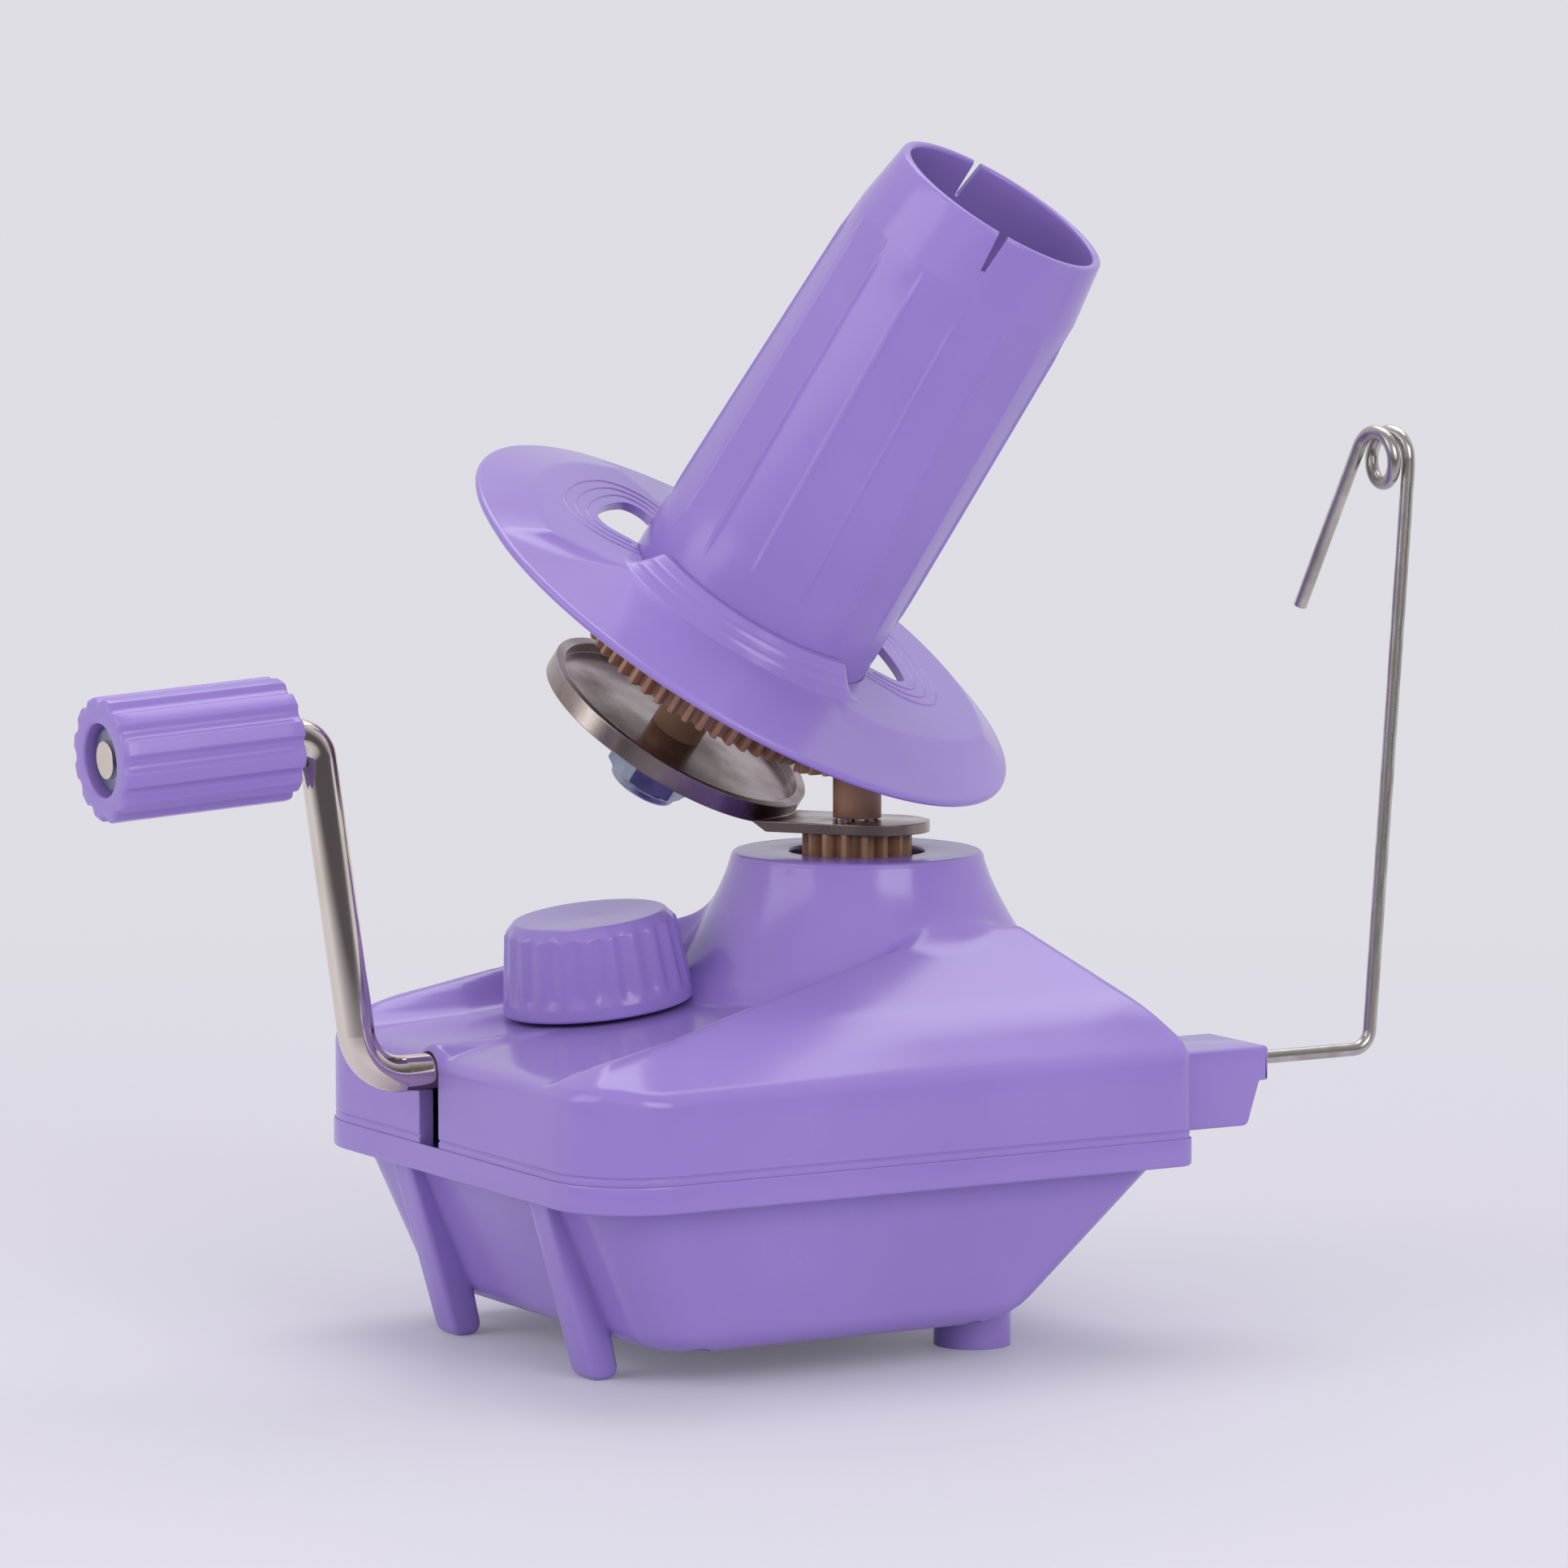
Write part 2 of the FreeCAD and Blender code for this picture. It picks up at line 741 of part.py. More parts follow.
turned("post_base_screw", [
    ("0", "base_screw_seat - screw_head_height"),
    ("screw_head_radius", "base_screw_seat - screw_head_height"),
    ("screw_head_radius", "base_screw_seat"),
    ("screw_radius", "base_screw_seat"),
    ("screw_radius", "post_bottom + post_screw_reach"),
    ("0", "post_bottom + post_screw_reach"),
])
turned("thrust_washer", [
    ("post_radius + running_fit", "pillar_top"),
    ("pillar_radius", "pillar_top"),
    ("pillar_radius", "pillar_top + washer_height"),
    ("post_radius + running_fit", "pillar_top + washer_height"),
])

# Crank bushes, in the saddles of tub and cover.
for label, spot in (("crank_bush_rear", "bush_rear"), ("crank_bush_front", "bush_front")):
    turned(label, [
        ("rod_radius + running_fit", f"-({spot} + bush_length / 2)"),
        ("rod_radius + bush_wall", f"-({spot} + bush_length / 2)"),
        ("rod_radius + bush_wall", f"-({spot} - bush_length / 2)"),
        ("rod_radius + running_fit", f"-({spot} - bush_length / 2)"),
    ], rod_frame)

# Crank: rod, collar, crown gear and its pin.

def corner_arc(before, corner, after, radius):
    """A tangent arc that rounds one corner of a path: its start, middle and end."""
    toward = (before - corner).normalize()
    onward = (after - corner).normalize()
    half = toward.getAngle(onward) / 2
    reach = radius / math.tan(half)
    inward = (toward + onward).normalize()
    centre = corner + inward * (radius / math.sin(half))
    return corner + toward * reach, centre - inward * radius, corner + onward * reach


def rounded_path(points, radii):
    """Straight runs joined by tangent arcs, one radius for each inner point."""
    edges = []
    start = points[0]
    for index, radius in enumerate(radii, start=1):
        spots = corner_arc(points[index - 1], points[index], points[index + 1], radius)
        edges.append(Part.LineSegment(start, spots[0]).toShape())
        edges.append(Part.Arc(*spots).toShape())
        start = spots[2]
    edges.append(Part.LineSegment(start, points[-1]).toShape())
    return edges


def round_wire(edges, radius):
    """A round wire along joined edges."""
    path = Part.Wire(edges)
    start = path.OrderedVertexes[0].Point
    tangent = path.OrderedEdges[0].tangentAt(path.OrderedEdges[0].FirstParameter)
    section = Part.Wire([Part.makeCircle(radius, start, tangent)])
    return path.makePipeShell([section], True, False)


grip_bore = "rod_radius + grip_bore_gap"
pin_end = "grip_start + 2 * (thrust_gap + grip_washer_height) + grip_length - grip_well_depth"
droop = math.radians(size("grip_droop"))
outward = vector(-math.cos(droop), 0, -math.sin(droop))
arm_top = vector(-size("arm_top_out"), 0, size("arm_top_height"))
rod_path = [
    vector(-size("rod_inner_end"), 0, size("rod_height")),
    vector(-size("rod_bend_out"), 0, size("rod_height")),
    arm_top,
    arm_top + outward * size(pin_end + " + rod_end_proud"),
]
rod_edges = rounded_path(rod_path, [size("rod_bend_round"), size("arm_top_round")])
rod_solid = round_wire(rod_edges, size("rod_radius"))
pin_reach = size("rod_radius") + beyond
pin_line = [vector(-size("crown_pin_place"), side * pin_reach, size("rod_height")) for side in (-1, 1)]
shaped("crank_rod", rod_solid.cut(bar(size("crown_pin_radius"), *pin_line)))
turned("crank_collar", [
    ("rod_radius", "-(bush_front + bush_length / 2 + thrust_gap + collar_length)"),
    ("collar_radius", "-(bush_front + bush_length / 2 + thrust_gap + collar_length)"),
    ("collar_radius", "-(bush_front + bush_length / 2 + thrust_gap)"),
    ("rod_radius", "-(bush_front + bush_length / 2 + thrust_gap)"),
], rod_frame)


def gear_outline(teeth, pitch_radius, height, phase):
    """A gear's outline in one plane: root, pitch and tip points of each tooth."""
    module = 2 * pitch_radius / teeth
    arc_pitch = math.pi * module
    levels = [
        (pitch_radius - size("tooth_foot") * module, size("tooth_root_share") * arc_pitch),
        (pitch_radius, size("tooth_pitch_share") * arc_pitch),
        (pitch_radius + size("tooth_head") * module, size("tooth_tip_share") * arc_pitch),
    ]
    flank = [(radius, -half / radius) for radius, half in levels]
    flank += [(radius, half / radius) for radius, half in reversed(levels)]
    points = []
    for tooth in range(teeth):
        middle_angle = phase + 2 * math.pi * tooth / teeth
        for radius, turn in flank:
            angle = middle_angle + turn
            points.append(vector(radius * math.cos(angle), radius * math.sin(angle), height))
    return points


pinion_teeth = int(size("pinion_teeth"))
pinion_pitch_radius = size("pinion_teeth * pinion_module / 2")


def crown_gear():
    """Face gear on the crank rod: its teeth stand forward from a disc and push the pinion."""
    teeth = pinion_teeth * int(size("crown_ratio"))
    mean = pinion_pitch_radius * size("crown_ratio")
    inner = mean - size("crown_face") / 2
    outer = mean + size("crown_face") / 2
    tip = -(pinion_pitch_radius - size("crown_tooth_head * pinion_module"))
    root = -(pinion_pitch_radius + size("tooth_foot * pinion_module + crown_root_gap"))
    back = root - size("crown_back")
    disc = Part.makeCylinder(outer, root - back, vector(0, 0, back))
    low = -size("bush_front - bush_length / 2 - thrust_gap")
    hub = Part.makeCylinder(size("crown_hub_radius"), back - low, vector(0, 0, low))
    section = [
        (-size("crown_tooth_root"), root - size("crown_back") / 2),
        (size("crown_tooth_root"), root - size("crown_back") / 2),
        (size("crown_tooth_root"), root),
        (size("crown_tooth_tip"), tip),
        (-size("crown_tooth_tip"), tip),
        (-size("crown_tooth_root"), root),
    ]
    tooth = prism([vector(inner, across, height) for across, height in section], vector(outer - inner, 0, 0))
    ring = []
    for index in range(teeth):
        copy = tooth.copy()
        turn = 180 + (index + 0.5) * 360 / teeth
        copy.rotate(vector(0, 0, 0), vector(0, 0, 1), turn)
        ring.append(copy)
    gear = disc.multiFuse([hub] + ring)
    bore = bar(size("rod_radius"), vector(0, 0, low - beyond), vector(0, 0, root + beyond))
    reach = size("crown_hub_radius") + beyond
    pin = bar(
        size("crown_pin_radius"),
        vector(0, -reach, -size("crown_pin_place")),
        vector(0, reach, -size("crown_pin_place")),
    )
    return gear.cut([bore, pin])


shaped("crown_gear", crown_gear(), rod_frame)
pin_frame = place(x="-crown_pin_place", z="rod_height", turn="90", tilt="90")
drum("crown_gear_pin", "crown_pin_radius", "-crown_hub_radius", "crown_hub_radius", pin_frame)

# Grip: turns on the end of the rod, between two washers fixed to it.
inner_face = "grip_washer_height + thrust_gap"
outer_face = inner_face + " + grip_length"
well_floor = outer_face + " - grip_well_depth"
turned("grip_washer", [
    ("rod_radius", "0"),
    ("grip_washer_radius", "0"),
    ("grip_washer_radius", "grip_washer_height"),
    ("rod_radius", "grip_washer_height"),
], grip_frame)
turned("grip_retainer", [
    ("rod_radius", well_floor + " + thrust_gap"),
    ("grip_retainer_radius", well_floor + " + thrust_gap"),
    ("grip_retainer_radius", well_floor + " + thrust_gap + grip_washer_height"),
    ("rod_radius", well_floor + " + thrust_gap + grip_washer_height"),
], grip_frame)


def fluted(body, reach, radius, low, high, count):
    """Grooves cut round a turned body: one groove, repeated about its axis."""
    sketch = body.newObject("Sketcher::SketchObject", body.Label + "_flute")
    sketch.AttachmentSupport = [(origin_plane(body, "XY_Plane"), "")]
    sketch.MapMode = "FlatFace"
    sketch.setExpression("AttachmentOffset.Base.z", bound(low))
    sketch.addGeometry(Part.Circle(vector(size(reach), 0, 0), vector(0, 0, 1), size(radius)), False)
    across = Sketcher.Constraint("DistanceX", -1, 1, 0, 3, size(reach))
    sketch.setExpression(f"Constraints[{sketch.addConstraint(across)}]", bound(reach))
    sketch.addConstraint(Sketcher.Constraint("PointOnObject", 0, 3, -1))
    width = Sketcher.Constraint("Radius", 0, size(radius))
    sketch.setExpression(f"Constraints[{sketch.addConstraint(width)}]", bound(radius))
    groove = body.newObject("PartDesign::Pocket", body.Label + "_groove")
    groove.Profile = sketch
    groove.Reversed = True
    groove.setExpression("Length", bound(f"({high}) - ({low})"))
    doc.recompute()
    around = body.newObject("PartDesign::PolarPattern", body.Label + "_grooves")
    around.Originals = [groove]
    around.Axis = (sketch, ["N_Axis"])
    around.Angle = 360
    around.setExpression("Occurrences", bound(count))
    body.Tip = around
    return body


grip = turned("crank_grip", [
    (grip_bore, inner_face),
    ("grip_radius", inner_face),
    ("grip_radius", outer_face),
    ("grip_well_radius", outer_face),
    ("grip_well_radius", well_floor),
    (grip_bore, well_floor),
], grip_frame)
fluted(grip, "grip_radius + grip_flute_radius - grip_flute_depth", "grip_flute_radius",
       inner_face, outer_face, "grip_flutes")

# Spindle: pinion, carrier plate and the leaning axle that the cone turns on.

def spindle_pinion():
    """Brown pinion on the post: its lower teeth mesh with the crown gear."""
    low = size("pinion_bottom")
    outline = gear_outline(pinion_teeth, pinion_pitch_radius, low, math.pi)
    teeth = prism(outline, vector(0, 0, size("pinion_top") - low))
    start = size("pillar_top + washer_height + thrust_gap")
    collar = bar(size("pinion_collar_radius"), vector(0, 0, start), vector(0, 0, low + beyond))
    bore_top = vector(0, 0, size("pinion_top") + beyond)
    bore = bar(size("post_radius + running_fit"), vector(0, 0, start - beyond), bore_top)
    holes = [
        bar(size("rivet_radius"), spot - vector(0, 0, size("rivet_depth")), spot)
        for spot in rivet_spots()
    ]
    return teeth.fuse(collar).cut([bore] + holes)


def rivet_spots():
    """Where the two rivets enter the top of the pinion, across the lean of the axle."""
    turn = math.radians(size("lean_turn") + 90)
    reach = size("rivet_spread") / 2
    return [
        vector(side * reach * math.cos(turn), side * reach * math.sin(turn), size("pinion_top"))
        for side in (-1, 1)
    ]


shaped("spindle_pinion", spindle_pinion())
cone_placement = FreeCAD.Placement(
    vector(0, 0, size("apex_height")),
    FreeCAD.Rotation(vector(0, 0, 1), size("lean_turn"))
    * FreeCAD.Rotation(vector(0, 1, 0), size("lean_angle")),
)


def carrier_plate():
    """Pressed steel dish under the ring gear, with a flat tab riveted to the pinion."""
    base = size("dish_bottom")
    inside = size("dish_radius - dish_rim_wall")
    dish = Part.makeCylinder(size("dish_radius"), size("dish_rim_top") - base, vector(0, 0, base))
    rim_floor = base + size("dish_thickness")
    dish = dish.cut(bar(inside, vector(0, 0, rim_floor), vector(0, 0, size("dish_rim_top") + beyond)))
    dish.Placement = cone_placement
    low = size("pinion_top")
    thickness = size("plate_thickness")
    half = size("tab_width") / 2
    tab = block(-size("tab_root"), size("tab_reach") - half, -half, half, low, low + thickness)
    tab = tab.fuse(Part.makeCylinder(half, thickness, vector(size("tab_reach") - half, 0, low)))
    tab.rotate(vector(0, 0, 0), vector(0, 0, 1), size("lean_turn"))
    reach = 2 * size("flange_radius")
    above = block(-reach, reach, -reach, reach, base, base + reach)
    above.Placement = cone_placement
    plate = dish.fuse(tab.common(above))
    axle_hole = bar(size("axle_radius"), vector(0, 0, base - beyond), vector(0, 0, rim_floor + beyond))
    axle_hole.Placement = cone_placement
    tab_top = vector(0, 0, low + thickness + beyond)
    post_hole = bar(size("post_radius + thrust_gap"), vector(0, 0, low - beyond), tab_top)
    rivet_holes = [
        bar(size("rivet_radius"), spot - vector(0, 0, beyond), spot + vector(0, 0, thickness + beyond))
        for spot in rivet_spots()
    ]
    return plate.cut([axle_hole, post_hole] + rivet_holes)


def carrier_rivets():
    """Two rivets that hold the tab to the pinion."""
    rivets = []
    for spot in rivet_spots():
        top = spot + vector(0, 0, size("plate_thickness"))
        shank = bar(size("rivet_radius"), spot - vector(0, 0, size("rivet_depth")), top)
        head = bar(size("rivet_head_radius"), top, top + vector(0, 0, size("rivet_head_height")))
        rivets.append(shank.fuse(head))
    return Part.makeCompound(rivets)


shaped("carrier_plate", carrier_plate())
shaped("carrier_rivets", carrier_rivets())

hub_top = "flange_top"
washer_top = hub_top + " + thrust_gap + washer_height"
turned("axle_bolt", [
    ("0", "dish_bottom - nut_height - axle_end"),
    ("axle_radius", "dish_bottom - nut_height - axle_end"),
    ("axle_radius", washer_top),
    ("axle_head_radius", washer_top),
    ("axle_head_radius", washer_top + " + axle_head_height - nut_bevel"),
    ("axle_head_radius - nut_bevel", washer_top + " + axle_head_height"),
    ("0", washer_top + " + axle_head_height"),
], cone_frame)
turned("axle_washer", [
    ("axle_radius", hub_top + " + thrust_gap"),
    ("axle_washer_radius", hub_top + " + thrust_gap"),
    ("axle_washer_radius", washer_top),
    ("axle_radius", washer_top),
], cone_frame)
turned("axle_spacer", [
    ("axle_radius", "dish_bottom + dish_thickness"),
    ("spacer_radius", "dish_bottom + dish_thickness"),
    ("spacer_radius", "ring_hub_bottom - thrust_gap"),
    ("axle_radius", "ring_hub_bottom - thrust_gap"),
], cone_frame)


def axle_locknut():
    """Domed lock nut under the dish."""
    seat = size("dish_bottom")
    corner = size("nut_across") / 2 / math.cos(math.pi / 6)
    hexagon = [
        vector(corner * math.cos(side * math.pi / 3), corner * math.sin(side * math.pi / 3), seat)
        for side in range(6)
    ]
    body = prism(hexagon, vector(0, 0, -size("nut_height")))
    end = seat - size("nut_height")
    bevel = size("nut_bevel")
    round_stock = Part.makeCone(corner - bevel, corner, bevel, vector(0, 0, end))
    round_stock = round_stock.fuse(bar(corner, vector(0, 0, end + bevel), vector(0, 0, seat)))
    body = body.common(round_stock)
    dome_radius = size("nut_dome_radius")
    dome_centre = vector(0, 0, end - size("nut_dome_height") + dome_radius)
    dome = Part.makeSphere(dome_radius, dome_centre)
    dome = dome.fuse(bar(dome_radius, dome_centre, vector(0, 0, end + bevel)))
    bore = bar(size("axle_radius"), vector(0, 0, seat + beyond), vector(0, 0, end - size("axle_end")))
    return body.fuse(dome).cut(bore)


shaped("axle_locknut", axle_locknut(), cone_frame)

# Bevel pair: the apex of both pitch cones is where the two axes cross.
lean = math.radians(size("lean_angle"))
post_half_angle = math.atan(
    math.sin(lean) / (size("ring_teeth / post_pinion_teeth") + math.cos(lean))
)
ring_half_angle = lean - post_half_angle


def post_pinion():
    """Fixed bevel pinion on top of the post, with a plain neck below its teeth."""
    teeth = int(size("post_pinion_teeth"))
    phase = math.radians(size("lean_turn")) + math.pi
    sections = []
    for height in (size("post_pinion_bottom"), size("post_pinion_top")):
        radius = (size("apex_height") - height) * math.tan(post_half_angle)
        sections.append(polygon(gear_outline(teeth, radius, height, phase)))
    gear = Part.makeLoft(sections, True, True)
    start = size("pinion_top + plate_thickness + thrust_gap")
    neck_top = vector(0, 0, size("post_pinion_bottom") + beyond)
    neck = bar(size("neck_collar_radius"), vector(0, 0, start), neck_top)
    bore_top = vector(0, 0, size("post_pinion_top") + beyond)
    bore = bar(size("post_radius"), vector(0, 0, start - beyond), bore_top)
    return gear.fuse(neck).cut(bore)


def ring_gear():
    """Bevel ring under the flange: drum, web and the hub that turns on the axle."""
    teeth = int(size("ring_teeth"))
    sections = []
    for height in (size("ring_bottom"), size("ring_top")):
        radius = -height * math.tan(ring_half_angle)
        sections.append(polygon(gear_outline(teeth, radius, height, math.pi / teeth)))
    gear = Part.makeLoft(sections, True, True)
    seat = size("flange_top - flange_thickness")
    web = seat - size("shell_wall")
    drum_form = bar(size("ring_drum_radius"), vector(0, 0, size("ring_top")), vector(0, 0, seat))
    inside = bar(size("ring_bore_radius"), vector(0, 0, size("ring_bottom") - beyond), vector(0, 0, web))
    hub = bar(size("ring_hub_radius"), vector(0, 0, size("ring_hub_bottom")), vector(0, 0, size(hub_top)))
    bore = bar(
        size("axle_radius + running_fit"),
        vector(0, 0, size("ring_hub_bottom") - beyond),
        vector(0, 0, size(hub_top) + beyond),
    )
    holes = [
        bar(size("gear_screw_radius"), spot + vector(0, 0, web - beyond), spot + vector(0, 0, seat + beyond))
        for spot in gear_screw_spots()
    ]
    return gear.fuse(drum_form).cut(inside).fuse(hub).cut([bore] + holes)


def gear_screw_spots():
    """The three screws of the ring gear, round its hub."""
    reach = size("gear_screw_circle")
    angles = [math.radians(90 + 120 * index) for index in range(3)]
    return [vector(reach * math.cos(angle), reach * math.sin(angle), 0) for angle in angles]


def ring_gear_screws():
    """Three screws, up through the web into the bosses of the cone's floor."""
    seat = size("flange_top - flange_thickness - shell_wall")
    screws = []
    for spot in gear_screw_spots():
        base = spot + vector(0, 0, seat)
        head = bar(size("gear_screw_head_radius"), base - vector(0, 0, size("screw_head_height")), base)
        shank = bar(size("gear_screw_radius"), base, base + vector(0, 0, size("gear_screw_length")))
        screws.append(head.fuse(shank))
    return Part.makeCompound(screws)


shaped("post_pinion", post_pinion())
shaped("ring_gear", ring_gear(), cone_frame)
shaped("ring_gear_screws", ring_gear_screws(), cone_frame)

# Cone and flange, in the frame of the leaning axle.
cone_floor_low = "flange_top - flange_thickness"
cone_shell = turned("cone_shell", [
    ("ring_hub_radius + running_fit", cone_floor_low),
    ("cone_base_radius", cone_floor_low),
    ("cone_base_radius", "cone_base_height"),
    ("cone_band_radius", "cone_band_height"),
    ("cone_rim_radius", "cone_rim_top"),
    ("cone_rim_radius - cone_wall", "cone_rim_top"),
    ("cone_band_radius - cone_wall", "cone_band_height"),
    ("cone_base_radius - cone_wall", "cone_base_height"),
    ("cone_base_radius - cone_wall", "flange_top"),
    ("ring_hub_radius + running_fit", "flange_top"),
])
gear_bosses = []
gear_holes = []
for index, spot in enumerate(gear_screw_spots()):
    x = str(spot.x)
    y = str(spot.y)
    tip = cone_floor_low + " - shell_wall + gear_screw_length"
    boss_top = tip + " + gear_boss_roof"
    gear_bosses.append(drum(f"gear_boss_{index}", "gear_boss_radius", "flange_top", boss_top, x=x, y=y))
    gear_holes.append(drum(f"gear_hole_{index}", "gear_screw_radius", cone_floor_low, tip, x=x, y=y))
rim_slot = doc.addObject("Part::Box", "rim_slot")
rim_slot.setExpression("Length", bound("3 * cone_rim_radius"))
rim_slot.setExpression("Width", bound("cone_slot_width"))
rim_slot.setExpression("Height", bound("2 * cone_slot_depth"))
rim_slot.setExpression("Placement", place(turn="cone_slot_turn") + " * " + place(
    x="-1.5 * cone_rim_radius",
    y="-cone_slot_width / 2",
    z="cone_rim_top - cone_slot_depth",
))
cone_whole = joined("cone_whole", [cone_shell] + gear_bosses)
cut("winding_cone", cone_whole, gear_holes + [rim_slot], cone_frame)

flange_disc = turned("flange_disc", [
    ("cone_base_radius + running_fit", "flange_top - flange_thickness"),
    ("flange_flat_radius - flange_thickness / 3", "flange_top - flange_thickness"),
    ("flange_radius - flange_thickness", "flange_top - flange_drop - flange_thickness"),
    ("flange_radius", "flange_top - flange_drop - flange_thickness / 2"),
    ("flange_radius", "flange_top - flange_drop"),
    ("flange_flat_radius", "flange_top"),
    ("flange_collar_radius", "flange_top"),
    ("flange_collar_radius", "flange_collar_top"),
    ("cone_base_radius + running_fit", "flange_collar_top"),
])
windows = []
window_low = "flange_top - 2 * flange_thickness"
window_high = "flange_top + flange_thickness"
for index in range(2):
    sector = drum(f"window_sector_{index}", "window_outer_radius", window_low, window_high)
    sector.setExpression("Angle", bound("window_span"))
    core = drum(f"window_core_{index}", "window_inner_radius", window_low, window_high)
    turn = f"window_turn - window_span / 2 + {180 * index}"
    window = cut(f"window_{index}", sector, [core], place(turn=turn))
    windows.append(window)
cut("yarn_flange", flange_disc, windows, cone_frame)

# Clamp knob: the hand nut of the table clamp, held in the sloping recess by its brass insert.
knob_cavity_top = "knob_height - knob_roof"
knob = turned("clamp_knob", [
    ("knob_base_radius - knob_wall", "0"),
    ("knob_base_radius", "0"),
    ("knob_top_radius", "knob_height - knob_edge"),
    ("knob_top_radius - knob_edge", "knob_height"),
    ("0", "knob_height"),
    ("0", "insert_rise"),
    ("insert_radius", "insert_rise"),
    ("insert_radius", "0"),
    ("knob_hub_radius", "0"),
    ("knob_hub_radius", knob_cavity_top),
    ("knob_top_radius - knob_wall", knob_cavity_top),
], knob_frame)
fluted(knob, "knob_base_radius + knob_flute_radius - knob_flute_depth", "knob_flute_radius",
       "knob_band", "knob_height - knob_edge", "knob_flutes")
turned("knob_insert", [
    ("insert_bore_radius", "-insert_drop"),
    ("insert_radius", "-insert_drop"),
    ("insert_radius", "insert_rise"),
    ("insert_bore_radius", "insert_rise"),
], knob_frame)
retainer_top = "-(knob_gap + shell_wall + thrust_gap)"
turned("knob_retainer", [
    ("insert_radius", retainer_top + " - retainer_height"),
    ("retainer_radius", retainer_top + " - retainer_height"),
    ("retainer_radius", retainer_top),
    ("insert_radius", retainer_top),
], knob_frame)

# Yarn guide: one bent wire with an eye of one and a half turns, and its retaining ring.

def biarc(start, start_tangent, end, end_tangent):
    """Two arcs that leave one point and reach another along given tangents."""
    gap = end - start
    both = start_tangent + end_tangent
    bend = 2 * (start_tangent.dot(end_tangent) - 1)
    lean_in = gap.dot(both)
    reach = (lean_in - math.sqrt(lean_in ** 2 - bend * gap.dot(gap))) / bend
    joint = (start + end + (start_tangent - end_tangent) * reach) * 0.5
    return [arc_from(start, start_tangent, joint), arc_from(joint, None, end, end_tangent)]


def arc_from(start, tangent, end, end_tangent=None):
    """An arc between two points, given its tangent at one of them."""
    if tangent is None:
        return arc_from(end, end_tangent * -1, start)
    chord = end - start
    half = tangent.getAngle(chord) / 2
    toward = (tangent + vector(*chord).normalize()).normalize()
    middle_spot = start + toward * (chord.Length / (2 * math.cos(half)))
    return Part.Arc(start, middle_spot, end).toShape()


guide_y = -size("guide_near")
wire_lean = math.radians(size("wire_lean"))
up = vector(math.sin(wire_lean), 0, math.cos(wire_lean))
foot_corner = vector(size("wire_reach"), guide_y, size("guide_height"))
eye_rise = size("eye_height - guide_height")
eye_x = foot_corner.x + eye_rise * math.tan(wire_lean)
eye_y = guide_y + size("eye_radius")


def eye_spot(angle):
    """A point of the eye's coil: it climbs the near side, crosses over and comes round again."""
    turn = math.radians(angle)
    back = size("eye_pitch") * (180 - angle) / 360
    radius = size("eye_radius")
    rise = radius * math.sin(turn)
    return vector(eye_x - back, eye_y + radius * math.cos(turn), size("eye_height") + rise)


def eye_tangent(angle):
    """The coil's direction at an angle."""
    turn = math.radians(angle)
    drift = size("eye_pitch") / (2 * math.pi * size("eye_radius"))
    return vector(-drift, math.sin(turn), -math.cos(turn)).normalize()


def guide_wire_edges():
    """Straight root, bend, riser, one and a half turns of eye and the hanging tail."""
    riser_end = foot_corner + up * (eye_rise - 0.7 * size("eye_radius"))
    root = vector(size("wire_inner_end"), guide_y, size("guide_height"))
    edges = rounded_path([root, foot_corner, riser_end], [size("wire_corner_round")])
    last_angle = size("tail_angle") - 360
    angles = [135 - 90 * step for step in range(6)] + [last_angle]
    spots = [riser_end] + [eye_spot(angle) for angle in angles]
    tangents = [up] + [eye_tangent(angle) for angle in angles]
    for index in range(len(angles)):
        edges += biarc(spots[index], tangents[index], spots[index + 1], tangents[index + 1])
    tail_end = spots[-1] + tangents[-1] * size("tail_length")
    edges.append(Part.LineSegment(spots[-1], tail_end).toShape())
    return edges


wire_edges = guide_wire_edges()
wire_solid = round_wire(wire_edges, size("wire_radius"))
shaped("yarn_guide_wire", wire_solid)
ring_face = "body_front - shell_wall - thrust_gap"
turned("guide_ring", [
    ("wire_radius", ring_face + " - guide_ring_height"),
    ("guide_ring_radius", ring_face + " - guide_ring_height"),
    ("guide_ring_radius", ring_face),
    ("wire_radius", ring_face),
], place(y="-guide_near", z="guide_height", tilt="90"))

doc.recompute()

nodes = [
    "upper_cover", "lower_tub", "front_feet", "cover_screws",
    "crank_bush_rear", "crank_bush_front",
    "centre_post", "post_screw", "post_base_screw", "post_pinion", "thrust_washer",
    "crank_rod", "crank_collar", "crown_gear", "crown_gear_pin",
    "grip_washer", "grip_retainer", "crank_grip",
    "spindle_pinion", "carrier_plate", "carrier_rivets",
    "axle_bolt", "axle_washer", "axle_spacer", "axle_locknut",
    "ring_gear", "ring_gear_screws", "winding_cone", "yarn_flange",
    "clamp_knob", "knob_insert", "knob_retainer",
    "yarn_guide_wire", "guide_ring",
]

for item in doc.Objects:
    if "Invalid" in item.State or "Error" in item.State:
        raise RuntimeError(f"{item.Label} did not build: {item.State}")
for name in nodes:
    shape = doc.getObject(name).Shape
    if shape.isNull() or not shape.isValid():
        raise RuntimeError(f"{name} has no valid shape")

